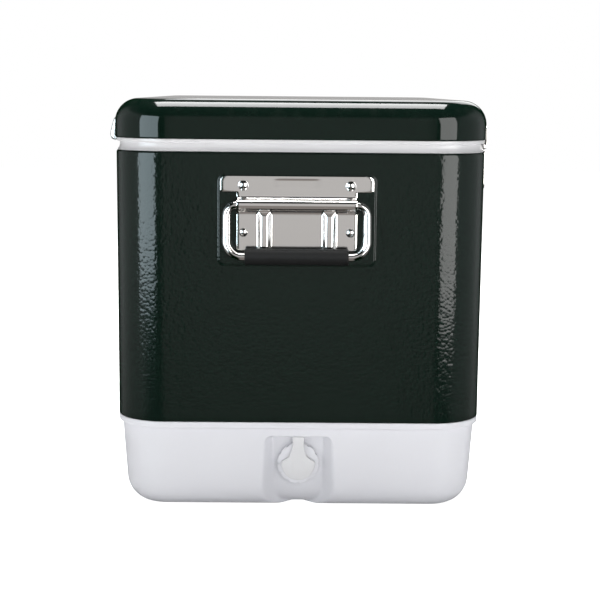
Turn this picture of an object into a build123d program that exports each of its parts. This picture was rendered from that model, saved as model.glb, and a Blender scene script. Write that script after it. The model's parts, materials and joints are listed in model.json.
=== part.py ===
from build123d import *
import math
import os

os.makedirs("parts", exist_ok=True)

# A steel-belted picnic cooler.  Origin on the floor under the body's middle, +X along its length
# towards the drain end, -Y to the latch, +Y to the hinges, +Z up.  All sizes are in millimetres.

# ------------------------------------------------------------------ driving dimensions
BODY_LENGTH = 575.0
BODY_DEPTH = 400.0
BODY_CORNER = 53.0
BASE_TOP = 100.5
BELT_TOP = 392.5
COLLAR_TOP = 402.0
LID_BOTTOM = 405.0
LID_TOP = 447.0
GAP = 0.3                     # air between neighbouring pieces that only lie side by side
FIT = 0.05                    # radial clearance of pins and rivets in their holes

END_X = BODY_LENGTH / 2
SIDE_Y = BODY_DEPTH / 2

# ------------------------------------------------------------------ base tray
TRAY_WALL = 3.0
RIM_HEIGHT = 7.0
RIM_LOW = BASE_TOP - RIM_HEIGHT
RIM_STEP = 3.9                # the wall stands this far inside the rim band
TRAY_DRAFT = 3.94
TRAY_EDGE = 30.0              # radius of the bottom edge
UPSTAND_HEIGHT = 18.0         # tongue of the tray that stands up inside the belt
BELT_SHEET = 1.0
UPSTAND_INSET = BELT_SHEET + GAP

DRAIN_Z = 51.8
RECESS_DEPTH = 13.0
RECESS_TOP = 83.0
RECESS_FACE_X = 284.0         # where the two half widths below are measured
RECESS_FACE_HALF = (37.0, 47.5)
RECESS_BACK_X = 268.0
RECESS_BACK_HALF = (27.0, 32.0)
RECESS_CORNER = 7.0
SEAT_X = 268.6                # flat seat of the drain washer
SEAT_RADIUS = 24.0
SEAT_BOSS = 5.5               # thickness of the seat's boss behind the seat
SEAT_FACING = 4.0             # how far the seat is faced back from the drafted wall
SPOUT_HOLE_DEPTH = 12.0
SPOUT_HOLE_PLAY = 0.15
STRAP_SLOT_PLAY = 0.4
RECESS_PASS = 3.0             # how far the recess's cutter stands out of the end wall
BELOW_FLOOR = -10.0           # the cutter's foot, below the floor


def slab(inset, low, high):
    """Upright block whose outline lies a given inset inside the belt's outline."""
    with BuildPart() as block:
        with BuildSketch(Plane.XY.offset(low)):
            RectangleRounded(BODY_LENGTH - 2 * inset, BODY_DEPTH - 2 * inset, BODY_CORNER - inset)
        extrude(amount=high - low)
    return block.part


def tray_form(inset):
    """The pan as a solid, its surface moved in by the inset: drafted walls, rounded bottom edge."""
    edge = RIM_STEP + inset
    with BuildPart() as form:
        with BuildSketch(Plane.XY.offset(RIM_LOW)):
            RectangleRounded(BODY_LENGTH - 2 * edge, BODY_DEPTH - 2 * edge, BODY_CORNER - edge)
        extrude(amount=inset - RIM_LOW, taper=TRAY_DRAFT)
        fillet(form.faces().sort_by(Axis.Z)[0].edges(), TRAY_EDGE - inset)
    return form.part


def recess_outline(x, outset):
    """Corners of the recess in the plane at x: a trapezium that is wider at its foot."""
    share = (x - RECESS_BACK_X) / (RECESS_FACE_X - RECESS_BACK_X)
    top = RECESS_BACK_HALF[0] + share * (RECESS_FACE_HALF[0] - RECESS_BACK_HALF[0]) + outset
    foot = RECESS_BACK_HALF[1] + share * (RECESS_FACE_HALF[1] - RECESS_BACK_HALF[1]) + outset
    ceiling = RECESS_TOP + outset
    return [(-foot, BELOW_FLOOR), (foot, BELOW_FLOOR), (top, ceiling), (-top, ceiling)]


def recess_form(outset):
    """What the drain recess takes away: a flared pocket, as deep as the end wall set back."""
    set_back = Location((-RECESS_DEPTH, 0, 0)) * tray_form(outset)
    with BuildPart() as void:
        for x in (END_X + RECESS_PASS, RECESS_BACK_X):
            with BuildSketch(Plane.YZ.offset(x)):
                Polygon(*recess_outline(x, outset), align=None)
        loft(ruled=True)
        slanted = void.edges().filter_by(lambda e: abs(e.tangent_at(0.5).X) > 0.5)
        fillet(slanted.group_by(Axis.Z)[-1], RECESS_CORNER + outset)
        with BuildSketch(Plane.YZ.offset(RECESS_BACK_X)):
            Polygon(*recess_outline(RECESS_BACK_X, outset), align=None)
        extrude(amount=-RECESS_DEPTH - TRAY_EDGE)
        add(set_back, mode=Mode.SUBTRACT)
    return void.part


# the strap of the drain plug enters the tray through a slot in the recess's ceiling
STRAP_WIDTH = 13.0
STRAP_THICK = 2.5
STRAP_X = 277.0
FLEX_Z = 80.9                 # height of the line on which the strap bends
SPOUT_RADIUS = 14.0

tray_outside = tray_form(0)
tray_inside = tray_form(TRAY_WALL)
recess_outside = recess_form(0)
recess_inside = recess_form(TRAY_WALL)

with BuildPart() as tray_hollow:
    add(tray_inside)
    add(recess_inside, mode=Mode.SUBTRACT)

with BuildPart() as base_tray:
    add(tray_outside)
    add(slab(0, RIM_LOW, BASE_TOP))
    add(slab(UPSTAND_INSET, BASE_TOP, BASE_TOP + UPSTAND_HEIGHT))
    add(recess_outside, mode=Mode.SUBTRACT)
    add(tray_hollow.part, mode=Mode.SUBTRACT)
    add(slab(UPSTAND_INSET + TRAY_WALL, RIM_LOW, BASE_TOP + UPSTAND_HEIGHT), mode=Mode.SUBTRACT)
    with BuildSketch(Plane.YZ.offset(SEAT_X)):
        with Locations((0, DRAIN_Z)):
            Circle(SEAT_RADIUS)
    extrude(amount=-SEAT_BOSS)
    with BuildSketch(Plane.YZ.offset(SEAT_X)):
        with Locations((0, DRAIN_Z)):
            Circle(SEAT_RADIUS)
    extrude(amount=SEAT_FACING, mode=Mode.SUBTRACT)
    with BuildSketch(Plane.YZ.offset(SEAT_X)):
        with Locations((0, DRAIN_Z)):
            Circle(SPOUT_RADIUS + SPOUT_HOLE_PLAY)
    extrude(amount=-SPOUT_HOLE_DEPTH, mode=Mode.SUBTRACT)
    with BuildSketch(Plane.XY.offset(RECESS_TOP)):
        with Locations((STRAP_X, 0)):
            Rectangle(STRAP_THICK + STRAP_SLOT_PLAY, STRAP_WIDTH + STRAP_SLOT_PLAY)
    extrude(amount=TRAY_WALL + 1.0, mode=Mode.SUBTRACT)
base_tray.part.label = "base_tray"
export_step(base_tray.part, "parts/base_tray.step")

# ------------------------------------------------------------------ handles: shared sizes
HANDLE_Y = -3.6               # the handles sit a little towards the latch side
PAD_PROUD = 1.2
PAD_WIDTH = 167.6
PAD_LOW = 271.8
PAD_HIGH = 368.0
PLATE_SHEET = 1.5
PLATE_WIDTH = 127.2
PLATE_TOP = 367.0
PLATE_FOOT = 288.4
FLANGE_WIDTH = 161.9
FLANGE_FOOT = 350.8
RIVET_SPACING = 113.4
RIVET_ROWS = (357.1, 307.5)
HANDLE_RIVET = 2.4            # shank radius
WIRE = 4.1                    # bail wire radius
PAD_X = END_X + PAD_PROUD
PLATE_X = PAD_X + PLATE_SHEET
BAIL_X = PAD_X + WIRE + GAP
BAIL_Z = 337.0
ROLL_PLAY = 0.4               # the wire turns in the bracket's roll with this much air
ROLL_RADIUS = WIRE + ROLL_PLAY + PLATE_SHEET
SMALL_RIVET = 2.0             # shank radius of the hinge, strike and latch rivets

HINGE_X = 205.0
BODY_LEAF_RIVETS = ((-20.0, 378.0), (20.0, 378.0), (0.0, 362.0))
STRIKE_RIVETS = ((-12.0, 374.0), (12.0, 374.0))

# ------------------------------------------------------------------ steel belt
HEM_RADIUS = 3.5
HEM_WIDTH = 8.0
HEM_CUT = 10.0                # depth of the cutter that opens the hem
PAD_CORNER = 7.0
PAD_SLOPE = 45.0
PAD_INSIDE = 1.2              # the pad's hollow side is smaller by this all round
BELT_PIERCE = 5.0             # reach of the rivet holes' cutters, both ways

with BuildPart() as belt_inside:
    add(slab(BELT_SHEET, BASE_TOP, BELT_TOP - BELT_SHEET))
    fillet(belt_inside.faces().sort_by(Axis.Z)[-1].edges(), HEM_RADIUS - BELT_SHEET)

with BuildPart() as steel_belt:
    add(slab(0, BASE_TOP, BELT_TOP))
    fillet(steel_belt.faces().sort_by(Axis.Z)[-1].edges(), HEM_RADIUS)
    add(belt_inside.part, mode=Mode.SUBTRACT)
    add(slab(HEM_WIDTH, BELT_TOP - HEM_CUT, BELT_TOP + 1.0), mode=Mode.SUBTRACT)
    for facing in (1, -1):
        wall = Plane((facing * END_X, HANDLE_Y, (PAD_LOW + PAD_HIGH) / 2), (0, 1, 0), (facing, 0, 0))
        with BuildSketch(wall):
            RectangleRounded(PAD_WIDTH, PAD_HIGH - PAD_LOW, PAD_CORNER)
        extrude(amount=PAD_PROUD, taper=PAD_SLOPE)
        with BuildSketch(wall.offset(-BELT_SHEET)):
            RectangleRounded(PAD_WIDTH - 2 * PAD_INSIDE, PAD_HIGH - PAD_LOW - 2 * PAD_INSIDE,
                             PAD_CORNER - 1.0)
        extrude(amount=PAD_PROUD, taper=PAD_SLOPE, mode=Mode.SUBTRACT)
        for row in RIVET_ROWS:
            with BuildSketch(Plane((facing * END_X, HANDLE_Y, row), (0, 1, 0), (facing, 0, 0))):
                with GridLocations(RIVET_SPACING, 0, 2, 1):
                    Circle(HANDLE_RIVET + FIT)
            extrude(amount=BELT_PIERCE, both=True, mode=Mode.SUBTRACT)
    with BuildSketch(Plane.XZ.offset(-SIDE_Y)):
        for hinge in (-HINGE_X, HINGE_X):
            with Locations(*[(hinge + x, z) for x, z in BODY_LEAF_RIVETS]):
                Circle(SMALL_RIVET + FIT)
    extrude(amount=BELT_PIERCE, both=True, mode=Mode.SUBTRACT)
    with BuildSketch(Plane.XZ.offset(SIDE_Y)):
        with Locations(*STRIKE_RIVETS):
            Circle(SMALL_RIVET + FIT)
    extrude(amount=BELT_PIERCE, both=True, mode=Mode.SUBTRACT)
steel_belt.part.label = "steel_belt"
export_step(steel_belt.part, "parts/steel_belt.step")

# ------------------------------------------------------------------ inner liner with its collar
LINER_WALL = 3.0
CAVITY_LENGTH = 511.0
CAVITY_DEPTH = 336.0
CAVITY_CORNER = 40.0
CAVITY_FLOOR = 38.0
CAVITY_DRAFT = 2.5
CAVITY_EDGE = 12.0            # radius round the cavity's floor
DECK_THICK = 3.0
COLLAR_INSET = 4.0
FLARE_HEIGHT = 3.0
BORE_RADIUS = 10.3            # bore of the drain spout
NECK_RADIUS = 11.5            # the spout's thin end in the liner's hole
NECK_PLAY = 0.1
NECK_HOLE = (225.0, 30.0)     # start on X and depth of the hole in the liner
FLARE_INSET = 1.2             # the collar's foot lies this far inside the belt
COLLAR_EDGE = 1.2


def cavity_form(outset, top):
    """The liner's cavity as a solid, its surface moved out by the outset."""
    with BuildPart() as form:
        with BuildSketch(Plane.XY.offset(top)):
            RectangleRounded(CAVITY_LENGTH + 2 * outset, CAVITY_DEPTH + 2 * outset, CAVITY_CORNER + outset)
        extrude(amount=CAVITY_FLOOR - outset - top, taper=CAVITY_DRAFT)
        fillet(form.faces().sort_by(Axis.Z)[0].edges(), CAVITY_EDGE + outset)
    return form.part


with BuildPart() as collar:
    add(slab(COLLAR_INSET, BELT_TOP + FLARE_HEIGHT, COLLAR_TOP))
    for height, inset in ((BELT_TOP + FLARE_HEIGHT, COLLAR_INSET), (BELT_TOP + 0.1, FLARE_INSET)):
        with BuildSketch(Plane.XY.offset(height)):
            RectangleRounded(BODY_LENGTH - 2 * inset, BODY_DEPTH - 2 * inset, BODY_CORNER - inset)
    loft(ruled=True)
    add(slab(COLLAR_INSET + LINER_WALL, BELT_TOP, COLLAR_TOP - DECK_THICK), mode=Mode.SUBTRACT)
    fillet(collar.faces().sort_by(Axis.Z)[-1].outer_wire().edges(), COLLAR_EDGE)

with BuildPart() as inner_liner:
    add(cavity_form(LINER_WALL, COLLAR_TOP))
    add(collar.part)
    add(cavity_form(0, COLLAR_TOP), mode=Mode.SUBTRACT)
    with BuildSketch(Plane.YZ.offset(NECK_HOLE[0])):
        with Locations((0, DRAIN_Z)):
            Circle(NECK_RADIUS + NECK_PLAY)
    extrude(amount=NECK_HOLE[1], mode=Mode.SUBTRACT)
inner_liner.part.label = "inner_liner"
export_step(inner_liner.part, "parts/inner_liner.step")

# ------------------------------------------------------------------ drain: spout, washer, nut
SPOUT_INNER_X = 238.0
SPOUT_FLANGE_X = 244.6
SPOUT_OUTER_X = 274.6
SPOUT_FLANGE = (3.0, 17.0)    # thickness and radius of the flange inside the seat's boss
WASHER_THICK = 1.5
WASHER_RADIUS = 21.0
NUT_RADIUS = 22.5
NUT_NOTCHES = 12
NOTCH_RADIUS = 2.4


def ring(low, high, inner, outer):
    """A flat ring round the drain's axis, between two places on X."""
    with BuildPart() as band:
        with BuildSketch(Plane.YZ.offset(low)):
            with Locations((0, DRAIN_Z)):
                Circle(outer)
                Circle(inner, mode=Mode.SUBTRACT)
        extrude(amount=high - low)
    return band.part


with BuildPart() as drain_spout:
    add(ring(SPOUT_INNER_X, SPOUT_FLANGE_X, BORE_RADIUS, NECK_RADIUS))
    add(ring(SPOUT_FLANGE_X, SPOUT_FLANGE_X + SPOUT_FLANGE[0], BORE_RADIUS, SPOUT_FLANGE[1]))
    add(ring(SPOUT_FLANGE_X + SPOUT_FLANGE[0], SPOUT_OUTER_X, BORE_RADIUS, SPOUT_RADIUS))
drain_spout.part.label = "drain_spout"
export_step(drain_spout.part, "parts/drain_spout.step")

with BuildPart() as drain_washer:
    add(ring(SEAT_X, SEAT_X + WASHER_THICK, SPOUT_RADIUS + 0.2, WASHER_RADIUS))
drain_washer.part.label = "drain_washer"
export_step(drain_washer.part, "parts/drain_washer.step")

with BuildPart() as drain_nut:
    add(ring(SEAT_X + WASHER_THICK, SPOUT_OUTER_X, SPOUT_RADIUS + FIT, NUT_RADIUS))
    with BuildSketch(Plane.YZ.offset(SEAT_X + WASHER_THICK)):
        with Locations((0, DRAIN_Z)):
            with PolarLocations(NUT_RADIUS + NOTCH_RADIUS / 2, NUT_NOTCHES):
                Circle(NOTCH_RADIUS)
    extrude(amount=SPOUT_OUTER_X - SEAT_X, mode=Mode.SUBTRACT)
drain_nut.part.label = "drain_nut"
export_step(drain_nut.part, "parts/drain_nut.step")

# ------------------------------------------------------------------ drain plug and its strap root
CAP_RADIUS = 18.3
CAP_THICK = 4.0
CAP_BACK_X = 275.0
STEM_LENGTH = 12.0
STEM_RADII = (10.0, 7.0)      # beside the cap and at the tip
CAP_EDGE = 1.5
SHOULDER = ((10.0, 0.0), (7.5, 6.0), (6.5, 10.0))   # half width and height of the strap's foot

with BuildPart() as drain_plug:
    with BuildSketch(Plane.YZ.offset(CAP_BACK_X)):
        with Locations((0, DRAIN_Z)):
            Circle(CAP_RADIUS)
    extrude(amount=CAP_THICK)
    fillet(drain_plug.faces().sort_by(Axis.X)[-1].edges(), CAP_EDGE)
    for x, radius in zip((CAP_BACK_X, CAP_BACK_X - STEM_LENGTH), STEM_RADII):
        with BuildSketch(Plane.YZ.offset(x)):
            with Locations((0, DRAIN_Z)):
                Circle(radius)
    loft()
    strap_low = DRAIN_Z + CAP_RADIUS - 8.0
    with BuildSketch(Plane.YZ.offset(STRAP_X - STRAP_THICK / 2)):
        with BuildLine():
            right = [(half, strap_low + height) for half, height in SHOULDER]
            right.append((STRAP_WIDTH / 2, FLEX_Z))
            left = [(-y, z) for y, z in reversed(right)]
            Polyline(*right, *left, right[0])
        make_face()
    extrude(amount=STRAP_THICK)
    with BuildSketch(Plane.XZ.offset(-STRAP_WIDTH / 2)):
        with Locations((STRAP_X, FLEX_Z)):
            Circle(STRAP_THICK / 2)
    extrude(amount=STRAP_WIDTH)
drain_plug.part.label = "drain_plug"
export_step(drain_plug.part, "parts/drain_plug.step")

ROOT_LOW = FLEX_Z + STRAP_THICK / 2 + 0.15
ROOT_HEAD = RECESS_TOP + TRAY_WALL + 0.2
ROOT_HEAD_SIZE = (5.4, 20.0, 2.0)

with BuildPart() as plug_strap_root:
    with BuildSketch(Plane.XY.offset(ROOT_LOW)):
        with Locations((STRAP_X, 0)):
            Rectangle(STRAP_THICK, STRAP_WIDTH)
    extrude(amount=ROOT_HEAD - ROOT_LOW)
    with BuildSketch(Plane.XY.offset(ROOT_HEAD)):
        with Locations((STRAP_X - 0.5, 0)):
            Rectangle(*ROOT_HEAD_SIZE[:2])
    extrude(amount=ROOT_HEAD_SIZE[2])
plug_strap_root.part.label = "plug_strap_root"
export_step(plug_strap_root.part, "parts/plug_strap_root.step")


# ------------------------------------------------------------------ rivets
def rivet(head_radius, head_height, shank_radius, grip, tail_radius, tail_height):
    """Domed rivet on +Z: the head sits on z = 0 and the shank runs down through the grip."""
    dome = (head_radius**2 + head_height**2) / (2 * head_height)
    sweep_angle = math.degrees(math.asin(head_radius / dome))
    with BuildPart() as body:
        with BuildSketch(Plane.XZ):
            with BuildLine():
                JernArc((0, head_height), (1, 0), dome, -sweep_angle)
                Polyline((head_radius, 0), (shank_radius, 0), (shank_radius, -grip),
                         (tail_radius, -grip), (tail_radius, -grip - tail_height),
                         (0, -grip - tail_height), (0, head_height))
            make_face()
        revolve(axis=Axis.Z)
    return body.part


# ------------------------------------------------------------------ handles
BACKING_THICK = 1.5
BACKING_X = PAD_X - BELT_SHEET - BACKING_THICK
HANDLE_GRIP = PLATE_X - BACKING_X
RIB_SPACING = 68.8
RIB_WIDTH = 15.1
RIB_HEIGHT = 4.0
RIB_TOP = 330.0
RIB_SLOPE = 48.0
GRIP_RADIUS = 8.9
GRIP_LENGTH = 109.4
BAIL_HALF = 74.6
BAIL_DROP = 54.7
UPPER_BEND = 12.0
LOWER_BEND = 16.0
BAIL_LEAN = 8.9               # degrees; the grip then rests on the feet of the ribs
ROLL_BLEND = 4.0
EAR_CORNERS = (5.8, 2.0)      # radii of the flange's upper and lower corners
BLEND_WINDOW = 10.0           # the corners to blend lie this near the roll's middle
BACKING_MARGIN = 11.0
HANDLE_TAIL = (4.2, 1.5)      # radius and height of a handle rivet's upset tail

with BuildPart() as drain_end_bracket:
    with BuildSketch(Plane((PAD_X, HANDLE_Y, 0), (0, 1, 0), (1, 0, 0))) as sheet:
        with Locations((0, (PLATE_TOP + PLATE_FOOT) / 2)):
            Rectangle(PLATE_WIDTH, PLATE_TOP - PLATE_FOOT)
        with Locations((0, (PLATE_TOP + FLANGE_FOOT) / 2)):
            Rectangle(FLANGE_WIDTH, PLATE_TOP - FLANGE_FOOT)
        ears = sheet.vertices().group_by(Axis.Y)
        fillet(ears[-1], EAR_CORNERS[0])
        fillet(sheet.vertices().filter_by(lambda v: abs(v.X) > PLATE_WIDTH / 2 + 1 and v.Y < FLANGE_FOOT + 1),
               EAR_CORNERS[1])
    extrude(amount=PLATE_SHEET)
    with BuildSketch(Plane((0, HANDLE_Y - PLATE_WIDTH / 2, 0), (1, 0, 0), (0, -1, 0))) as roll:
        with Locations((BAIL_X, BAIL_Z)):
            Circle(ROLL_RADIUS)
        with Locations(((PAD_X + PLATE_X) / 2, BAIL_Z)):
            Rectangle(PLATE_SHEET, 4 * ROLL_RADIUS)
        on_plate = roll.vertices().filter_by(lambda v: abs(v.X - PLATE_X) < 0.1)
        fillet(on_plate.filter_by(lambda v: abs(v.Y - BAIL_Z) < BLEND_WINDOW), ROLL_BLEND)
        with Locations((PAD_X - ROLL_RADIUS, BAIL_Z)):
            Rectangle(2 * ROLL_RADIUS, 5 * ROLL_RADIUS, mode=Mode.SUBTRACT)
    extrude(amount=-PLATE_WIDTH)
    with BuildSketch(Plane((0, HANDLE_Y - PLATE_WIDTH / 2, 0), (1, 0, 0), (0, -1, 0))):
        with Locations((BAIL_X, BAIL_Z)):
            Circle(WIRE + ROLL_PLAY)
        with Locations((PAD_X, BAIL_Z)):
            Rectangle(2 * (BAIL_X - PAD_X), 2 * (WIRE + ROLL_PLAY))
    extrude(amount=-PLATE_WIDTH, mode=Mode.SUBTRACT)
    for start, width, foot, mode in ((PLATE_X, RIB_WIDTH, PLATE_FOOT, Mode.ADD),
                                     (PAD_X, RIB_WIDTH - 3.0, PLATE_FOOT + 1.5, Mode.SUBTRACT)):
        with BuildSketch(Plane((start, HANDLE_Y, (RIB_TOP + foot) / 2), (0, 1, 0), (1, 0, 0))):
            with GridLocations(RIB_SPACING, 0, 2, 1):
                Rectangle(width, RIB_TOP - foot - (RIB_WIDTH - width) / 2)
        extrude(amount=RIB_HEIGHT, taper=RIB_SLOPE, mode=mode)
    for row in RIVET_ROWS:
        with BuildSketch(Plane((PAD_X, HANDLE_Y, row), (0, 1, 0), (1, 0, 0))):
            with GridLocations(RIVET_SPACING, 0, 2, 1):
                Circle(HANDLE_RIVET + FIT)
        extrude(amount=PLATE_SHEET, mode=Mode.SUBTRACT)
drain_end_bracket.part.label = "drain_end_bracket"
export_step(drain_end_bracket.part, "parts/drain_end_bracket.step")

with BuildPart() as drain_end_backing_plate:
    with BuildSketch(Plane((BACKING_X, HANDLE_Y, sum(RIVET_ROWS) / 2), (0, 1, 0), (1, 0, 0))):
        RectangleRounded(RIVET_SPACING + 2 * BACKING_MARGIN, RIVET_ROWS[0] - RIVET_ROWS[1] + 14.0, 6.0)
        with GridLocations(RIVET_SPACING, RIVET_ROWS[0] - RIVET_ROWS[1], 2, 2):
            Circle(HANDLE_RIVET + FIT, mode=Mode.SUBTRACT)
    extrude(amount=BACKING_THICK)
drain_end_backing_plate.part.label = "drain_end_backing_plate"
export_step(drain_end_backing_plate.part, "parts/drain_end_backing_plate.step")

upper_rivet = rivet(5.4, 2.4, HANDLE_RIVET, HANDLE_GRIP, *HANDLE_TAIL)
lower_rivet = rivet(4.7, 2.2, HANDLE_RIVET, HANDLE_GRIP, *HANDLE_TAIL)
with BuildPart() as drain_end_rivets:
    for row, solid in zip(RIVET_ROWS, (upper_rivet, lower_rivet)):
        with Locations(Plane((PLATE_X, HANDLE_Y, row), (0, 1, 0), (1, 0, 0))):
            with GridLocations(RIVET_SPACING, 0, 2, 1):
                add(solid)
drain_end_rivets.part.label = "drain_end_rivets"
export_step(drain_end_rivets.part, "parts/drain_end_rivets.step")

lean = math.radians(BAIL_LEAN)
bail_plane = Plane((BAIL_X, HANDLE_Y, BAIL_Z), (0, 1, 0), (math.cos(lean), 0, math.sin(lean)))
bail_gap = 0.6                # half the butt gap of the wire's ends, hidden in the bracket's roll
with BuildPart() as drain_end_bail:
    with BuildLine(bail_plane) as wire_path:
        FilletPolyline((bail_gap, 0), (BAIL_HALF, 0), (BAIL_HALF, -BAIL_DROP), (-BAIL_HALF, -BAIL_DROP),
                       (-BAIL_HALF, 0), (-bail_gap, 0),
                       radius=[UPPER_BEND, LOWER_BEND, LOWER_BEND, UPPER_BEND])
    with BuildSketch(Plane(wire_path.line @ 0, z_dir=wire_path.line % 0)):
        Circle(WIRE)
    sweep()
drain_end_bail.part.label = "drain_end_bail"
export_step(drain_end_bail.part, "parts/drain_end_bail.step")

grip_plane = Plane((BAIL_X + BAIL_DROP * math.sin(lean), HANDLE_Y - GRIP_LENGTH / 2,
                    BAIL_Z - BAIL_DROP * math.cos(lean)), (1, 0, 0), (0, 1, 0))
with BuildPart() as drain_end_grip:
    with BuildSketch(grip_plane):
        Circle(GRIP_RADIUS)
        Circle(WIRE + FIT, mode=Mode.SUBTRACT)
    extrude(amount=GRIP_LENGTH)
    outer_ends = drain_end_grip.edges().filter_by(lambda e: e.geom_type == GeomType.CIRCLE)
    fillet(outer_ends.filter_by(lambda e: e.radius > GRIP_RADIUS - 1), 1.2)
drain_end_grip.part.label = "drain_end_grip"
export_step(drain_end_grip.part, "parts/drain_end_grip.step")

handle_pieces = {
    "bracket": drain_end_bracket,
    "backing_plate": drain_end_backing_plate,
    "rivets": drain_end_rivets,
    "bail": drain_end_bail,
    "grip": drain_end_grip,
}
for piece_name, piece in handle_pieces.items():
    mirrored = mirror(piece.part, about=Plane.YZ)
    with BuildPart() as far_piece:
        add(mirrored)
    far_piece.part.label = "plain_end_" + piece_name
    export_step(far_piece.part, "parts/plain_end_" + piece_name + ".step")

# ------------------------------------------------------------------ hinges
LEAF_SHEET = 1.4
LEAF_HALF = 30.0
KNUCKLE_RADIUS = 3.0
PIN_RADIUS = 1.6
HINGE_Y = 199.3              # the barrels lie in the groove between belt and lid
HINGE_Z = 397.5
LID_SIDE_Y = 202.0
CENTRE_KNUCKLE = 11.0         # half width of the body leaf's knuckle
KNUCKLE_GAP = 0.3
BODY_LEAF_FOOT = 352.0
BODY_LEAF_TOP = 392.8
TONGUE_LOW = 390.0
LID_LEAF_FOOT = 403.0
ARM_HEIGHT = 8.0
ARM_BEND = 4.0                # the arms lean in to the barrels below this height above the pin
PIN_HEAD = 2.6
SMALL_HEAD = (4.0, 1.7)       # radius and height of the leaf and strike rivets' heads
SMALL_TAIL = (3.4, 1.2)
LID_LEAF_TOP = 420.0
LID_RIVET_Z = 413.0
LID_LEAF_RIVETS = (-20.0, 20.0)


def body_leaf(centre):
    """Leaf on the back of the belt: plate, one raised tongue and the middle knuckle."""
    with BuildPart() as leaf:
        with BuildSketch(Plane.YZ.offset(centre - LEAF_HALF)):
            with Locations((SIDE_Y, BODY_LEAF_FOOT)):
                Rectangle(LEAF_SHEET, BODY_LEAF_TOP - BODY_LEAF_FOOT, align=Align.MIN)
        extrude(amount=2 * LEAF_HALF)
        with BuildSketch(Plane.YZ.offset(centre - CENTRE_KNUCKLE)):
            with Locations((SIDE_Y, TONGUE_LOW)):
                Rectangle(LEAF_SHEET, HINGE_Z - TONGUE_LOW, align=Align.MIN)
            with Locations((HINGE_Y, HINGE_Z)):
                Circle(KNUCKLE_RADIUS)
        extrude(amount=2 * CENTRE_KNUCKLE)
        with BuildSketch(Plane.YZ.offset(centre - LEAF_HALF)):
            with Locations((HINGE_Y, HINGE_Z)):
                Circle(PIN_RADIUS + FIT)
        extrude(amount=2 * LEAF_HALF, mode=Mode.SUBTRACT)
        with BuildSketch(Plane.XZ.offset(-SIDE_Y)):
            with Locations(*[(centre + x, z) for x, z in BODY_LEAF_RIVETS]):
                Circle(SMALL_RIVET + FIT)
        extrude(amount=-LEAF_SHEET, mode=Mode.SUBTRACT)
        corners = leaf.edges().filter_by(Axis.Y).group_by(Axis.Z)[0]
        fillet(corners, 5.0)
    return leaf.part


def lid_leaf(centre):
    """Leaf on the back of the lid: plate with two arms that end in the outer knuckles."""
    arm_width = LEAF_HALF - CENTRE_KNUCKLE - KNUCKLE_GAP
    barrel_side = HINGE_Y + KNUCKLE_RADIUS
    with BuildPart() as leaf:
        with BuildSketch(Plane.YZ.offset(centre - LEAF_HALF)):
            with Locations((LID_SIDE_Y, LID_LEAF_FOOT)):
                Rectangle(LEAF_SHEET, LID_LEAF_TOP - LID_LEAF_FOOT, align=Align.MIN)
        extrude(amount=2 * LEAF_HALF)
        for side in (centre - LEAF_HALF, centre + CENTRE_KNUCKLE + KNUCKLE_GAP):
            with BuildSketch(Plane.YZ.offset(side)):
                Polygon((LID_SIDE_Y, HINGE_Z + ARM_HEIGHT), (LID_SIDE_Y + LEAF_SHEET, HINGE_Z + ARM_HEIGHT),
                        (LID_SIDE_Y + LEAF_SHEET, HINGE_Z + ARM_BEND), (barrel_side, HINGE_Z),
                        (barrel_side - LEAF_SHEET, HINGE_Z),
                        (barrel_side - LEAF_SHEET, HINGE_Z + ARM_BEND - LEAF_SHEET),
                        (LID_SIDE_Y, HINGE_Z + ARM_BEND + LEAF_SHEET / 2), align=None)
                with Locations((HINGE_Y, HINGE_Z)):
                    Circle(KNUCKLE_RADIUS)
            extrude(amount=arm_width)
        with BuildSketch(Plane.YZ.offset(centre - LEAF_HALF)):
            with Locations((HINGE_Y, HINGE_Z)):
                Circle(PIN_RADIUS + FIT)
        extrude(amount=2 * LEAF_HALF, mode=Mode.SUBTRACT)
        with BuildSketch(Plane.XZ.offset(-LID_SIDE_Y)):
            with Locations(*[(centre + x, LID_RIVET_Z) for x in LID_LEAF_RIVETS]):
                Circle(SMALL_RIVET + FIT)
        extrude(amount=-LEAF_SHEET, mode=Mode.SUBTRACT)
        fillet(leaf.edges().filter_by(Axis.Y).group_by(Axis.Z)[-1], 4.0)
    return leaf.part


def headed_pin(half_length, radius, head_radius):
    """A pin along X with a small head at each end, centred on the origin."""
    with BuildPart() as pin:
        Cylinder(radius, 2 * half_length, rotation=(0, 90, 0))
        for side in (-1, 1):
            with Locations((side * (half_length + 0.5), 0, 0)):
                Cylinder(head_radius, 1.0, rotation=(0, 90, 0))
    return pin.part


hinge_pin_solid = headed_pin(LEAF_HALF + 0.3, PIN_RADIUS, PIN_HEAD)
for end_name, hinge_x in (("drain_end", HINGE_X), ("plain_end", -HINGE_X)):
    body_leaf_solid = body_leaf(hinge_x)
    with BuildPart() as body_leaf_piece:
        add(body_leaf_solid)
    body_leaf_piece.part.label = end_name + "_hinge_body_leaf"
    export_step(body_leaf_piece.part, "parts/" + end_name + "_hinge_body_leaf.step")

    lid_leaf_solid = lid_leaf(hinge_x)
    with BuildPart() as lid_leaf_piece:
        add(lid_leaf_solid)
    lid_leaf_piece.part.label = end_name + "_hinge_lid_leaf"
    export_step(lid_leaf_piece.part, "parts/" + end_name + "_hinge_lid_leaf.step")

    with BuildPart() as hinge_pin:
        with Locations((hinge_x, HINGE_Y, HINGE_Z)):
            add(hinge_pin_solid)
    hinge_pin.part.label = end_name + "_hinge_pin"
    export_step(hinge_pin.part, "parts/" + end_name + "_hinge_pin.step")

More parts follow.
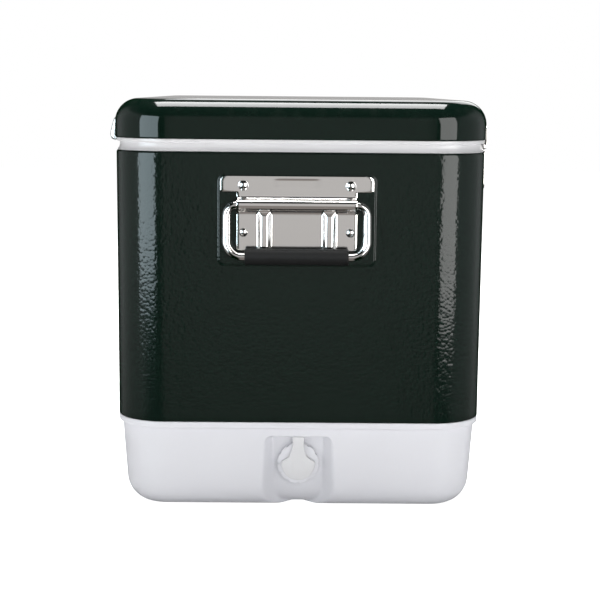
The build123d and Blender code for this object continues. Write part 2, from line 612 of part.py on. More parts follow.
LID_SHEET = 1.2
body_leaf_rivet = rivet(*SMALL_HEAD, SMALL_RIVET, LEAF_SHEET + BELT_SHEET, *SMALL_TAIL)
with BuildPart() as hinge_body_rivets:
    for hinge in (-HINGE_X, HINGE_X):
        for x, z in BODY_LEAF_RIVETS:
            with Locations(Plane((hinge + x, SIDE_Y + LEAF_SHEET, z), (1, 0, 0), (0, 1, 0))):
                add(body_leaf_rivet)
hinge_body_rivets.part.label = "hinge_body_rivets"
export_step(hinge_body_rivets.part, "parts/hinge_body_rivets.step")

lid_leaf_rivet = rivet(*SMALL_HEAD, SMALL_RIVET, LEAF_SHEET + LID_SHEET, *SMALL_TAIL)
with BuildPart() as hinge_lid_rivets:
    for hinge in (-HINGE_X, HINGE_X):
        for x in LID_LEAF_RIVETS:
            with Locations(Plane((hinge + x, LID_SIDE_Y + LEAF_SHEET, LID_RIVET_Z), (1, 0, 0), (0, 1, 0))):
                add(lid_leaf_rivet)
hinge_lid_rivets.part.label = "hinge_lid_rivets"
export_step(hinge_lid_rivets.part, "parts/hinge_lid_rivets.step")

# ------------------------------------------------------------------ latch strike on the belt
STRIKE_HALF = 20.0
STRIKE_FOOT = 364.0
STRIKE_CORNER = 5.0
STRIKE_SHEET = 1.5
STRIKE_TOP = 388.5
STRIKE_REACH = 8.0

with BuildPart() as latch_strike:
    with BuildSketch(Plane.YZ.offset(-STRIKE_HALF)):
        with BuildLine():
            Polyline((-SIDE_Y, STRIKE_FOOT), (-SIDE_Y, STRIKE_TOP), (-SIDE_Y - STRIKE_REACH, STRIKE_TOP),
                     (-SIDE_Y - STRIKE_REACH, STRIKE_TOP - STRIKE_SHEET),
                     (-SIDE_Y - STRIKE_SHEET, STRIKE_TOP - STRIKE_SHEET),
                     (-SIDE_Y - STRIKE_SHEET, STRIKE_FOOT), (-SIDE_Y, STRIKE_FOOT))
        make_face()
    extrude(amount=2 * STRIKE_HALF)
    with BuildSketch(Plane.XZ.offset(SIDE_Y)):
        with Locations(*STRIKE_RIVETS):
            Circle(SMALL_RIVET + FIT)
    extrude(amount=STRIKE_SHEET, mode=Mode.SUBTRACT)
    fillet(latch_strike.edges().filter_by(Axis.Y).group_by(Axis.Z)[0], STRIKE_CORNER)
latch_strike.part.label = "latch_strike"
export_step(latch_strike.part, "parts/latch_strike.step")

strike_rivet = rivet(*SMALL_HEAD, SMALL_RIVET, STRIKE_SHEET + BELT_SHEET, *SMALL_TAIL)
with BuildPart() as strike_rivets:
    for x, z in STRIKE_RIVETS:
        with Locations(Plane((x, -SIDE_Y - STRIKE_SHEET, z), (1, 0, 0), (0, -1, 0))):
            add(strike_rivet)
strike_rivets.part.label = "strike_rivets"
export_step(strike_rivets.part, "parts/strike_rivets.step")

# ------------------------------------------------------------------ latch plate, pin, lever, hook, spring
LATCH_SHEET = 1.5
LATCH_PLATE_HALF = 30.0
LATCH_PLATE_HEIGHT = 14.4
LATCH_PLATE_Z = 413.7
EAR_RADIUS = 4.0
EAR_ROOT = (408.5, 419.0)     # foot and top of an ear where it leaves the plate
EAR_NECK = 3.7                # half height of an ear beside its round end
LATCH_Y = -214.0
LATCH_Z = 414.0
EAR_X = 27.0                  # inner face of the plate's ears
LEVER_HALF = 26.0
LATCH_RIVETS = ((-14.0, LATCH_PLATE_Z), (14.0, LATCH_PLATE_Z))
HOOK_HALF = 9.0

with BuildPart() as latch_plate:
    with BuildSketch(Plane.XZ.offset(LID_SIDE_Y)):
        with Locations((0, LATCH_PLATE_Z)):
            RectangleRounded(2 * LATCH_PLATE_HALF, LATCH_PLATE_HEIGHT, 2.0)
        with Locations(*LATCH_RIVETS):
            Circle(SMALL_RIVET + FIT, mode=Mode.SUBTRACT)
    extrude(amount=LATCH_SHEET)
    for side in (-EAR_X - LATCH_SHEET, EAR_X):
        with BuildSketch(Plane.YZ.offset(side)):
            with BuildLine():
                root_y, neck_y = -LID_SIDE_Y - 1.0, LATCH_Y + 1.5
                Polyline((root_y, EAR_ROOT[0]), (neck_y, LATCH_Z - EAR_NECK), (neck_y, LATCH_Z + EAR_NECK),
                         (root_y, EAR_ROOT[1]), (root_y, EAR_ROOT[0]))
            make_face()
            with Locations((LATCH_Y, LATCH_Z)):
                Circle(EAR_RADIUS)
                Circle(PIN_RADIUS + FIT, mode=Mode.SUBTRACT)
        extrude(amount=LATCH_SHEET)
latch_plate.part.label = "latch_plate"
export_step(latch_plate.part, "parts/latch_plate.step")

latch_rivet = rivet(3.6, 1.5, SMALL_RIVET, LATCH_SHEET + LID_SHEET, *SMALL_TAIL)
with BuildPart() as latch_plate_rivets:
    for x, z in LATCH_RIVETS:
        with Locations(Plane((x, -LID_SIDE_Y - LATCH_SHEET, z), (1, 0, 0), (0, -1, 0))):
            add(latch_rivet)
latch_plate_rivets.part.label = "latch_plate_rivets"
export_step(latch_plate_rivets.part, "parts/latch_plate_rivets.step")

latch_pin_solid = headed_pin(EAR_X + LATCH_SHEET + 0.2, PIN_RADIUS, PIN_HEAD)
with BuildPart() as latch_pin:
    with Locations((0, LATCH_Y, LATCH_Z)):
        add(latch_pin_solid)
latch_pin.part.label = "latch_pin"
export_step(latch_pin.part, "parts/latch_pin.step")

with BuildPart() as latch_lever:
    with BuildSketch(Plane.YZ.offset(-LEVER_HALF)):
        with BuildLine():
            Line((-213.0, 420.5), (-221.0, 425.0))
            Spline((-221.0, 425.0), (-229.5, 421.5), (-232.3, 414.5), (-235.2, 400.5), (-233.6, 395.3),
                   (-229.0, 393.4))
            Polyline((-229.0, 393.4), (-227.0, 395.5), (-210.5, 409.0), (-209.0, 414.0), (-213.0, 420.5))
        make_face()
    extrude(amount=2 * LEVER_HALF)
    with BuildSketch(Plane.YZ.offset(LATCH_SHEET - LEVER_HALF)):
        with BuildLine():
            Line((-200.0, 424.0), (-220.9, 423.4))
            Spline((-220.9, 423.4), (-228.3, 420.4), (-230.8, 414.2), (-233.7, 400.6), (-232.6, 396.6),
                   (-228.4, 395.0))
            Polyline((-228.4, 395.0), (-226.5, 392.0), (-200.0, 392.0), (-200.0, 424.0))
        make_face()
    extrude(amount=2 * (LEVER_HALF - LATCH_SHEET), mode=Mode.SUBTRACT)
    with BuildSketch(Plane.YZ.offset(-LEVER_HALF)):
        with Locations((LATCH_Y, LATCH_Z)):
            Circle(PIN_RADIUS + FIT)
    extrude(amount=2 * LEVER_HALF, mode=Mode.SUBTRACT)
latch_lever.part.label = "latch_lever"
export_step(latch_lever.part, "parts/latch_lever.step")

with BuildPart() as latch_hook:
    with BuildSketch(Plane.YZ.offset(-HOOK_HALF)):
        with Locations((LATCH_Y, LATCH_Z)):
            Circle(3.4)
        with BuildLine():
            Polyline((-214.2, 411.5), (-213.0, 383.6), (-208.4, 383.6), (-208.4, 385.2), (-211.4, 385.4),
                     (-211.6, 411.5), (-214.2, 411.5))
        make_face()
        with BuildLine():
            Polyline((-213.2, 416.6), (-215.6, 416.6), (-223.0, 419.0), (-228.2, 419.0), (-227.4, 420.6),
                     (-222.4, 420.6), (-213.2, 417.3), (-213.2, 416.6))
        make_face()
        with Locations((LATCH_Y, LATCH_Z)):
            Circle(PIN_RADIUS + FIT, mode=Mode.SUBTRACT)
    extrude(amount=2 * HOOK_HALF)
latch_hook.part.label = "latch_hook"
export_step(latch_hook.part, "parts/latch_hook.step")

SPRING_WIRE = 0.5
SPRING_RADIUS = 2.7
SPRING_TURNS = 6
SPRING_START = 11.0
SPRING_PITCH = 1.3

with BuildPart() as latch_spring:
    with BuildLine() as coil:
        Helix(SPRING_PITCH, SPRING_PITCH * SPRING_TURNS, SPRING_RADIUS,
              center=(SPRING_START, LATCH_Y, LATCH_Z), direction=(1, 0, 0))
    with BuildSketch(Plane(coil.line @ 0, z_dir=coil.line % 0)):
        Circle(SPRING_WIRE)
    sweep()
latch_spring.part.label = "latch_spring"
export_step(latch_spring.part, "parts/latch_spring.step")

# ------------------------------------------------------------------ lid
LID_OVERHANG = 2.0
LID_CORNER = 60.0
LID_EDGE = 26.0               # radius of the lid's top edge
LID_HEM = 7.0
LID_FLANGE_THICK = 2.6
LID_FLANGE_INSET = 3.0        # the liner's white flange, inside the shell's outline
PLUG_LENGTH = 501.0
PLUG_DEPTH = 326.0
PLUG_CORNER = 36.0
PLUG_LOW = 388.0
PLUG_DRAFT = 8.0
PLUG_EDGE = 4.0
LID_PIERCE = 2.0              # reach of the lid's rivet holes' cutters, both ways
POCKET_DEPTH = 4.0            # room in the foam for the rivets' tails
POCKET_HEIGHT = 10.0
POCKET_MARGIN = 6.0


def lid_block(inset, low, high, edge):
    """The lid's outline as a block with a rounded top edge."""
    with BuildPart() as block:
        with BuildSketch(Plane.XY.offset(low)):
            RectangleRounded(BODY_LENGTH + 2 * (LID_OVERHANG - inset),
                             BODY_DEPTH + 2 * (LID_OVERHANG - inset), LID_CORNER - inset)
        extrude(amount=high - low)
        if edge > 0:
            fillet(block.faces().sort_by(Axis.Z)[-1].edges(), edge)
    return block.part


def plug_form(inset, top, low):
    """The raised pan on the lid's underside, as a tapered solid."""
    with BuildPart() as form:
        with BuildSketch(Plane.XY.offset(top)):
            RectangleRounded(PLUG_LENGTH - 2 * inset, PLUG_DEPTH - 2 * inset, PLUG_CORNER - inset)
        extrude(amount=low - top, taper=PLUG_DRAFT)
        fillet(form.faces().sort_by(Axis.Z)[0].edges(), PLUG_EDGE)
    return form.part


with BuildPart() as lid_shell:
    add(lid_block(0, LID_BOTTOM, LID_TOP, LID_EDGE))
    add(lid_block(LID_SHEET, LID_BOTTOM + LID_SHEET, LID_TOP - LID_SHEET, LID_EDGE - LID_SHEET),
        mode=Mode.SUBTRACT)
    add(lid_block(LID_HEM, LID_BOTTOM - 1.0, LID_BOTTOM + LID_SHEET + 1.0, 0), mode=Mode.SUBTRACT)
    with BuildSketch(Plane.XZ.offset(-LID_SIDE_Y)):
        for hinge in (-HINGE_X, HINGE_X):
            with Locations(*[(hinge + x, LID_RIVET_Z) for x in LID_LEAF_RIVETS]):
                Circle(SMALL_RIVET + FIT)
    extrude(amount=LID_PIERCE, both=True, mode=Mode.SUBTRACT)
    with BuildSketch(Plane.XZ.offset(LID_SIDE_Y)):
        with Locations(*LATCH_RIVETS):
            Circle(SMALL_RIVET + FIT)
    extrude(amount=LID_PIERCE, both=True, mode=Mode.SUBTRACT)
lid_shell.part.label = "lid_shell"
export_step(lid_shell.part, "parts/lid_shell.step")

with BuildPart() as lid_liner:
    add(lid_block(LID_FLANGE_INSET, COLLAR_TOP + GAP, COLLAR_TOP + GAP + LID_FLANGE_THICK, 0))
    add(plug_form(0, COLLAR_TOP + GAP, PLUG_LOW))
    add(plug_form(LINER_WALL, COLLAR_TOP + GAP + LID_FLANGE_THICK, PLUG_LOW + LINER_WALL),
        mode=Mode.SUBTRACT)
lid_liner.part.label = "lid_liner"
export_step(lid_liner.part, "parts/lid_liner.step")

with BuildPart() as lid_foam:
    add(lid_block(LID_SHEET + GAP, LID_BOTTOM + LID_SHEET + GAP, LID_TOP - LID_SHEET - GAP,
                  LID_EDGE - LID_SHEET - GAP))
    add(plug_form(LINER_WALL + GAP, LID_BOTTOM + LID_SHEET + GAP, PLUG_LOW + LINER_WALL + GAP))
    for hinge in (-HINGE_X, HINGE_X):
        with Locations((hinge, LID_SIDE_Y - POCKET_DEPTH / 2, LID_RIVET_Z)):
            Box(2 * (LID_LEAF_RIVETS[1] + POCKET_MARGIN), POCKET_DEPTH, POCKET_HEIGHT, mode=Mode.SUBTRACT)
    with Locations((0, POCKET_DEPTH / 2 - LID_SIDE_Y, LATCH_PLATE_Z)):
        Box(2 * (LATCH_RIVETS[1][0] + POCKET_MARGIN), POCKET_DEPTH, POCKET_HEIGHT, mode=Mode.SUBTRACT)
lid_foam.part.label = "lid_foam"
export_step(lid_foam.part, "parts/lid_foam.step")

# ------------------------------------------------------------------ foam of the body
FOAM_TOP = BELT_TOP - BELT_SHEET - GAP
SPOUT_PASSAGE = (230.0, 17.5, 60.0)   # start on X, radius and length of the foam's hole
tray_fill = tray_form(TRAY_WALL + GAP)
recess_fill = recess_form(TRAY_WALL + GAP)
liner_fill = cavity_form(LINER_WALL + GAP, COLLAR_TOP)

with BuildPart() as foam_body:
    add(tray_fill)
    add(slab(UPSTAND_INSET + TRAY_WALL + GAP, RIM_LOW, BASE_TOP + UPSTAND_HEIGHT + GAP))
    add(slab(HEM_RADIUS, BASE_TOP + UPSTAND_HEIGHT + GAP, FOAM_TOP))
    add(recess_fill, mode=Mode.SUBTRACT)
    add(liner_fill, mode=Mode.SUBTRACT)
    with BuildSketch(Plane.YZ.offset(SPOUT_PASSAGE[0])):
        with Locations((0, DRAIN_Z)):
            Circle(SPOUT_PASSAGE[1])
    extrude(amount=SPOUT_PASSAGE[2], mode=Mode.SUBTRACT)
    with BuildSketch(Plane.YZ.offset(SEAT_X - SEAT_BOSS - 0.5)):
        with Locations((0, DRAIN_Z)):
            Circle(SEAT_RADIUS + 1.0)
    extrude(amount=20.0, mode=Mode.SUBTRACT)
    with Locations((STRAP_X - 0.5, 0, RECESS_TOP + 5.0)):
        Box(9.0, 22.0, 8.0, mode=Mode.SUBTRACT)
foam_body.part.label = "foam_body"
export_step(foam_body.part, "parts/foam_body.step")
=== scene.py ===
# %% [markdown]
# # A steel-belted picnic cooler
#
# This lesson builds the looks of an insulated chest: a white moulded base, a pebbled dark green
# steel belt, a smooth green lid, swinging wire handles and a small drain.  The engineering model
# already fixes where everything is and how it moves.  Here we only give each piece its finished
# surface, so every size starts from the boxes of the engineering model.

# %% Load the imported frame
import json
import math

import bpy
import numpy as np
from mathutils import Matrix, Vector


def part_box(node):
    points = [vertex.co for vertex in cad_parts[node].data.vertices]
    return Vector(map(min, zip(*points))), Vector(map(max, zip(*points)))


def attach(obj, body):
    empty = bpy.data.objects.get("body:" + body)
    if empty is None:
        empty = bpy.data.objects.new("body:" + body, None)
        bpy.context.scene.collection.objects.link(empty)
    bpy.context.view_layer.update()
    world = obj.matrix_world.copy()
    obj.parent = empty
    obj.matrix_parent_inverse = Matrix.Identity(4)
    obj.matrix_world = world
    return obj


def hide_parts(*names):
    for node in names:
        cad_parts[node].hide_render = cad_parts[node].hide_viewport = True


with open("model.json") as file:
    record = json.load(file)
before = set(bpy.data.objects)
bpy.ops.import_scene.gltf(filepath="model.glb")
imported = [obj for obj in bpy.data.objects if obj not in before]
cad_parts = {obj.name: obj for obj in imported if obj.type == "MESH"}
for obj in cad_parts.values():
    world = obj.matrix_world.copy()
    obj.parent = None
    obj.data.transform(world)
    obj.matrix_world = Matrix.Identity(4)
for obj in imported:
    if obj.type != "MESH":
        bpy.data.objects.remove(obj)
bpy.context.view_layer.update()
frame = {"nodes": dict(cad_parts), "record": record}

MM = 0.001
nodes = frame["nodes"]


def node_box(name):
    """Lowest and highest corner of a node at rest, in millimetres."""
    low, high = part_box(name)
    return np.array(low) / MM, np.array(high) / MM


# %% [markdown]
# ## Camera
#
# The camera comes first, so that every trial picture is framed the same way.  It stands a little
# above the handle's height in front of the drain end and looks slightly down.  Its axes are worked
# out from three angles, because a matrix built from named angles is easier to change than three
# Euler numbers found by trial.

# %% Camera
CAMERA_PLACE = (1.728, -0.0074, 0.4593)
CAMERA_LENS = 81.85
YAW = math.radians(0.313)
PITCH = math.radians(8.843)
ROLL = math.radians(0.514)


def make_camera():
    """Camera whose right, up and back axes come from yaw, pitch and roll about its place."""
    level_right = np.array([math.sin(YAW), math.cos(YAW), 0.0])
    forward = np.array([-math.cos(YAW) * math.cos(PITCH), math.sin(YAW) * math.cos(PITCH),
                        -math.sin(PITCH)])
    level_up = np.cross(level_right, forward)
    right = math.cos(ROLL) * level_right + math.sin(ROLL) * level_up
    up = -math.sin(ROLL) * level_right + math.cos(ROLL) * level_up
    camera = bpy.data.objects.new("camera", bpy.data.cameras.new("camera"))
    camera.data.lens = CAMERA_LENS
    turn = Matrix(np.stack([right, up, -forward], axis=1).tolist())
    camera.matrix_world = Matrix.Translation(CAMERA_PLACE) @ turn.to_4x4()
    bpy.context.scene.collection.objects.link(camera)
    bpy.context.scene.camera = camera
    return camera


print("camera at", tuple(round(v, 3) for v in make_camera().location))

# %% [markdown]
# ## Floor, sky and lamps
#
# Enamel and polished steel show almost nothing of their own: they show the studio.  Two tall soft
# boxes stand left and right of the camera and draw the upright streaks on the belt's corners, and a
# broad box overhead draws the bright line along the lid's edge.  Three fills light the white plastic
# and stay out of reflections.  The sky is plain white for the camera and grey for reflections.

# %% Floor
def make_floor():
    """One pale square on the ground, far larger than the chest."""
    half = 6.0
    mesh = bpy.data.meshes.new("floor")
    mesh.from_pydata([(-half, -half, 0), (half, -half, 0), (half, half, 0), (-half, half, 0)], [],
                     [(0, 1, 2, 3)])
    floor = bpy.data.objects.new("floor", mesh)
    bpy.context.scene.collection.objects.link(floor)
    floor.visible_glossy = False
    return floor


floor = make_floor()


def add_nodes(tree, **wanted):
    """Makes shader nodes from name=kind pairs and returns them in that order."""
    made = []
    for name, kind in wanted.items():
        node = tree.nodes.new(kind)
        node.name = name
        made.append(node)
    return made


def add_ramp(tree, value, stops):
    """A colour ramp with grey or coloured stops on a 0 to 1 value; returns its colour."""
    ramp = tree.nodes.new("ShaderNodeValToRGB")
    tree.links.new(value, ramp.inputs[0])
    elements = ramp.color_ramp.elements
    while len(elements) < len(stops):
        elements.new(0.5)
    for element, (position, colour) in zip(elements, stops):
        element.position = position
        element.color = (*colour, 1)
    return ramp.outputs[0]


def sky():
    """World: white to the camera, otherwise a grey room made of two ramps.

    One ramp follows the height of the direction, dark overhead and towards the ground; the other
    follows its sideways part, light in front, dark in the gaps beside the soft boxes.
    """
    world = bpy.data.worlds.new("studio")
    bpy.context.scene.world = world
    world.use_nodes = True
    tree = world.node_tree
    tree.nodes.clear()
    place, split, path, room, mix, shine, out = add_nodes(
        tree, place="ShaderNodeTexCoord", split="ShaderNodeSeparateXYZ", path="ShaderNodeLightPath",
        room="ShaderNodeMix", mix="ShaderNodeMix", shine="ShaderNodeBackground",
        out="ShaderNodeOutputWorld")
    room.data_type = mix.data_type = "RGBA"
    room.blend_type = "MULTIPLY"
    room.inputs["Factor"].default_value = 1.0
    tree.links.new(place.outputs["Generated"], split.inputs[0])
    lift = tree.nodes.new("ShaderNodeMapRange")
    lift.inputs["From Min"].default_value = -1.0
    tree.links.new(split.outputs["Z"], lift.inputs["Value"])
    sideways = tree.nodes.new("ShaderNodeMath")
    sideways.operation = "ABSOLUTE"
    tree.links.new(split.outputs["Y"], sideways.inputs[0])
    heights = [(0.36, (0.45, 0.42, 0.40)), (0.44, (1.0, 1.0, 1.0)), (0.74, (1.0, 1.0, 1.0)),
               (0.82, (0.10, 0.10, 0.10))]
    sides = [(0.11, (0.50, 0.49, 0.485)), (0.16, (0.0, 0.01, 0.0)), (0.55, (0.0, 0.01, 0.0)),
             (0.86, (0.60, 0.62, 0.63))]
    tree.links.new(add_ramp(tree, lift.outputs[0], heights), room.inputs["A"])
    tree.links.new(add_ramp(tree, sideways.outputs[0], sides), room.inputs["B"])
    tree.links.new(room.outputs["Result"], mix.inputs["A"])
    mix.inputs["B"].default_value = (1, 1, 1, 1)
    tree.links.new(path.outputs["Is Camera Ray"], mix.inputs["Factor"])
    tree.links.new(mix.outputs["Result"], shine.inputs["Color"])
    tree.links.new(shine.outputs[0], out.inputs["Surface"])


def soft_box(name, place, aim, width, height, radiance, colour=(1, 1, 1), seen=True, lights=True):
    """Rectangular lamp that faces a point; its power is radiance times area times pi.

    A lamp may be left out of reflections (seen) or of diffuse light (lights).
    """
    lamp = bpy.data.lights.new(name, "AREA")
    lamp.shape = "RECTANGLE"
    lamp.size = width
    lamp.size_y = height
    lamp.energy = radiance * width * height * math.pi
    lamp.color = colour
    holder = bpy.data.objects.new(name, lamp)
    back = np.array(place, float) - np.array(aim, float)
    back /= np.linalg.norm(back)
    right = np.cross((0.0, 0.0, 1.0), back)
    if np.linalg.norm(right) < 1e-6:
        right = np.array([0.0, 1.0, 0.0])
    right /= np.linalg.norm(right)
    turn = Matrix(np.stack([right, np.cross(back, right), back], axis=1).tolist())
    holder.matrix_world = Matrix.Translation(place) @ turn.to_4x4()
    holder.visible_camera = False
    holder.visible_glossy = seen
    holder.visible_diffuse = lights
    bpy.context.scene.collection.objects.link(holder)
    return holder


sky()
LEFT_AIM, RIGHT_AIM = (0.27, -0.17, 0.60), (0.27, 0.17, 0.60)
soft_box("left_streak", (1.72, -1.42, 0.76), LEFT_AIM, 1.45, 1.60, 8.0, (0.76, 0.92, 1.0), lights=False)
soft_box("right_streak", (1.90, 1.16, 0.80), RIGHT_AIM, 1.25, 1.85, 6.4, (1.0, 0.99, 0.98), lights=False)
soft_box("left_fill", (1.45, -1.75, 0.86), LEFT_AIM, 0.75, 1.80, 2.6, seen=False)
soft_box("right_fill", (1.75, 1.35, 0.86), RIGHT_AIM, 0.75, 1.80, 2.5, seen=False)
soft_box("front_fill", (2.0, 0.1, 0.28), (0.28, 0.0, 0.05), 1.8, 0.5, 3.0, seen=False)
soft_box("top_box", (-0.15, 0.0, 2.2), (-0.15, 0.0, 0.2), 1.3, 1.1, 17.0)
soft_box("back_box", (-2.2, 0.4, 1.6), (0.0, 0.0, 0.2), 1.6, 1.4, 2.5)
bpy.context.scene.view_settings.view_transform = "Standard"

# %% [markdown]
# ## Shared effects
#
# The finishes share a few kinds of detail, so each kind is one node group.  `pebbled` makes the
# hammered skin of the belt and, much finer, the grain of moulded plastic and rubber.  `brushed`
# makes the streaks of rolled sheet.  `handled` makes the faint dust and scuffs that stop a surface
# from looking computed.  A group only gives masks and heights; the shader stays in the material.

# %% Node groups
def new_group(name, inputs, outputs):
    """An empty node group with number and vector inputs and number outputs."""
    tree = bpy.data.node_groups.new(name, "ShaderNodeTree")
    for label, kind, default in inputs:
        socket = tree.interface.new_socket(name=label, in_out="INPUT", socket_type=kind)
        if default is not None:
            socket.default_value = default
    for label in outputs:
        tree.interface.new_socket(name=label, in_out="OUTPUT", socket_type="NodeSocketFloat")
    return tree, tree.nodes.new("NodeGroupInput"), tree.nodes.new("NodeGroupOutput")


def maths(tree, kind, a, b=None):
    """A math node on sockets or plain numbers; returns its output."""
    node = tree.nodes.new("ShaderNodeMath")
    node.operation = kind
    for socket, value in zip(node.inputs, (a, b)):
        if value is None:
            continue
        if isinstance(value, (int, float)):
            socket.default_value = value
        else:
            tree.links.new(value, socket)
    return node.outputs[0]


def noise(tree, where, scale, detail=3.0, roughness=0.55):
    """A noise texture; scale is a number or a socket."""
    node = tree.nodes.new("ShaderNodeTexNoise")
    node.inputs["Detail"].default_value = detail
    node.inputs["Roughness"].default_value = roughness
    tree.links.new(where, node.inputs["Vector"])
    if isinstance(scale, (int, float)):
        node.inputs["Scale"].default_value = scale
    else:
        tree.links.new(scale, node.inputs["Scale"])
    return node.outputs["Fac"]


def pebbled_group():
    """Rounded cells of uneven size: smooth cell distance, squared, with soft noise laid over it."""
    tree, given, result = new_group(
        "pebbled", [("Vector", "NodeSocketVector", None), ("Scale", "NodeSocketFloat", 300.0),
                    ("Unevenness", "NodeSocketFloat", 0.35)], ["Height", "Patches"])
    cells = tree.nodes.new("ShaderNodeTexVoronoi")
    cells.feature = "SMOOTH_F1"
    cells.inputs["Smoothness"].default_value = 0.7
    tree.links.new(given.outputs["Vector"], cells.inputs["Vector"])
    tree.links.new(given.outputs["Scale"], cells.inputs["Scale"])
    dome = maths(tree, "MULTIPLY", cells.outputs["Distance"], cells.outputs["Distance"])
    dome = maths(tree, "SUBTRACT", 1.0, dome)
    swell = noise(tree, given.outputs["Vector"], maths(tree, "MULTIPLY", given.outputs["Scale"], 0.4), 2.0)
    swell = maths(tree, "MULTIPLY", swell, given.outputs["Unevenness"])
    tree.links.new(maths(tree, "ADD", dome, swell), result.inputs["Height"])
    tree.links.new(noise(tree, given.outputs["Vector"], 9.0, 4.0), result.inputs["Patches"])
    return tree


def brushed_group():
    """Fine streaks: noise on a vector that the material has stretched along the rolling direction."""
    tree, given, result = new_group(
        "brushed", [("Vector", "NodeSocketVector", None), ("Scale", "NodeSocketFloat", 900.0)],
        ["Height", "Streak"])
    fine = noise(tree, given.outputs["Vector"], given.outputs["Scale"], 2.0)
    broad = noise(tree, given.outputs["Vector"], maths(tree, "MULTIPLY", given.outputs["Scale"], 0.15), 3.0)
    tree.links.new(fine, result.inputs["Height"])
    blended = maths(tree, "ADD", maths(tree, "MULTIPLY", fine, 0.5), maths(tree, "MULTIPLY", broad, 0.5))
    tree.links.new(blended, result.inputs["Streak"])
    return tree


def handled_group():
    """Dust that settles on faces that look up, and short scuffs: stretched noise above a threshold."""
    tree, given, result = new_group(
        "handled", [("Vector", "NodeSocketVector", None), ("Dust", "NodeSocketFloat", 0.2),
                    ("Scuffs", "NodeSocketFloat", 0.2)], ["Dust", "Scuffs"])
    facing = tree.nodes.new("ShaderNodeNewGeometry")
    split = tree.nodes.new("ShaderNodeSeparateXYZ")
    tree.links.new(facing.outputs["Normal"], split.inputs[0])
    upward = maths(tree, "MAXIMUM", split.outputs["Z"], 0.0)
    speck = maths(tree, "SUBTRACT", noise(tree, given.outputs["Vector"], 60.0, 6.0), 0.45)
    speck = maths(tree, "MAXIMUM", speck, 0.0)
    dust = maths(tree, "MULTIPLY", maths(tree, "MULTIPLY", upward, speck), given.outputs["Dust"])
    stretch = tree.nodes.new("ShaderNodeMapping")
    stretch.inputs["Scale"].default_value = (1.0, 1.0, 6.0)
    stretch.inputs["Rotation"].default_value = (0.5, 0.3, 0.2)
    tree.links.new(given.outputs["Vector"], stretch.inputs["Vector"])
    mark = maths(tree, "SUBTRACT", noise(tree, stretch.outputs[0], 45.0, 5.0, 0.7), 0.60)
    mark = maths(tree, "MULTIPLY", maths(tree, "MAXIMUM", mark, 0.0), 6.0)
    tree.links.new(dust, result.inputs["Dust"])
    tree.links.new(maths(tree, "MULTIPLY", mark, given.outputs["Scuffs"]), result.inputs["Scuffs"])
    return tree


GROUPS = {"pebbled": pebbled_group(), "brushed": brushed_group(), "handled": handled_group()}
print("node groups:", ", ".join(GROUPS))

# %% [markdown]
# ## Materials
#
# Each finish starts from one recipe: two close colours mixed by a slow pattern, a roughness that
# scuffs and dust disturb, and a height that bends the light.  The recipe's numbers are what makes
# enamel, plastic, steel or rubber out of it.

# %% The recipe for a finish
def finish(name, dark, light, roughness, metallic=0.0, relief="pebbled", scale=300.0, depth=0.0,
           unevenness=0.35, stretch=(1, 1, 1), dust=0.15, scuffs=0.15, dust_colour=(0.55, 0.54, 0.52),
           specular=0.5, rough_spread=0.06):
    """Principled material: colours mixed by a pattern, roughness and bump from the shared groups."""
    material = bpy.data.materials.new(name)
    material.use_nodes = True
    tree = material.node_tree
    shader = tree.nodes["Principled BSDF"]
    shader.inputs["Metallic"].default_value = metallic
    shader.inputs["Specular IOR Level"].default_value = specular
    place, turn, texture, handled, tones, dusted, bump = add_nodes(
        tree, place="ShaderNodeTexCoord", turn="ShaderNodeMapping", texture="ShaderNodeGroup",
        handled="ShaderNodeGroup", tones="ShaderNodeMix", dusted="ShaderNodeMix", bump="ShaderNodeBump")
    texture.node_tree = GROUPS[relief]
    handled.node_tree = GROUPS["handled"]
    turn.inputs["Scale"].default_value = stretch
    tree.links.new(place.outputs["Object"], turn.inputs["Vector"])
    tree.links.new(turn.outputs[0], texture.inputs["Vector"])
    tree.links.new(place.outputs["Object"], handled.inputs["Vector"])
    texture.inputs["Scale"].default_value = scale
    if relief == "pebbled":
        texture.inputs["Unevenness"].default_value = unevenness
    handled.inputs["Dust"].default_value = dust
    handled.inputs["Scuffs"].default_value = scuffs
    tones.data_type = dusted.data_type = "RGBA"
    tones.inputs["A"].default_value = (*dark, 1)
    tones.inputs["B"].default_value = (*light, 1)
    pattern = texture.outputs["Patches" if relief == "pebbled" else "Streak"]
    tree.links.new(pattern, tones.inputs["Factor"])
    tree.links.new(tones.outputs["Result"], dusted.inputs["A"])
    dusted.inputs["B"].default_value = (*dust_colour, 1)
    tree.links.new(handled.outputs["Dust"], dusted.inputs["Factor"])
    tree.links.new(dusted.outputs["Result"], shader.inputs["Base Color"])
    varied = maths(tree, "MULTIPLY", pattern, rough_spread)
    varied = maths(tree, "ADD", varied, roughness - rough_spread / 2)
    worn = maths(tree, "MULTIPLY", handled.outputs["Scuffs"], 0.25)
    dulled = maths(tree, "ADD", varied, worn)
    dulled = maths(tree, "ADD", dulled, handled.outputs["Dust"])
    tree.links.new(dulled, shader.inputs["Roughness"])
    bump.inputs["Distance"].default_value = depth
    tree.links.new(texture.outputs["Height"], bump.inputs["Height"])
    tree.links.new(bump.outputs["Normal"], shader.inputs["Normal"])
    return material


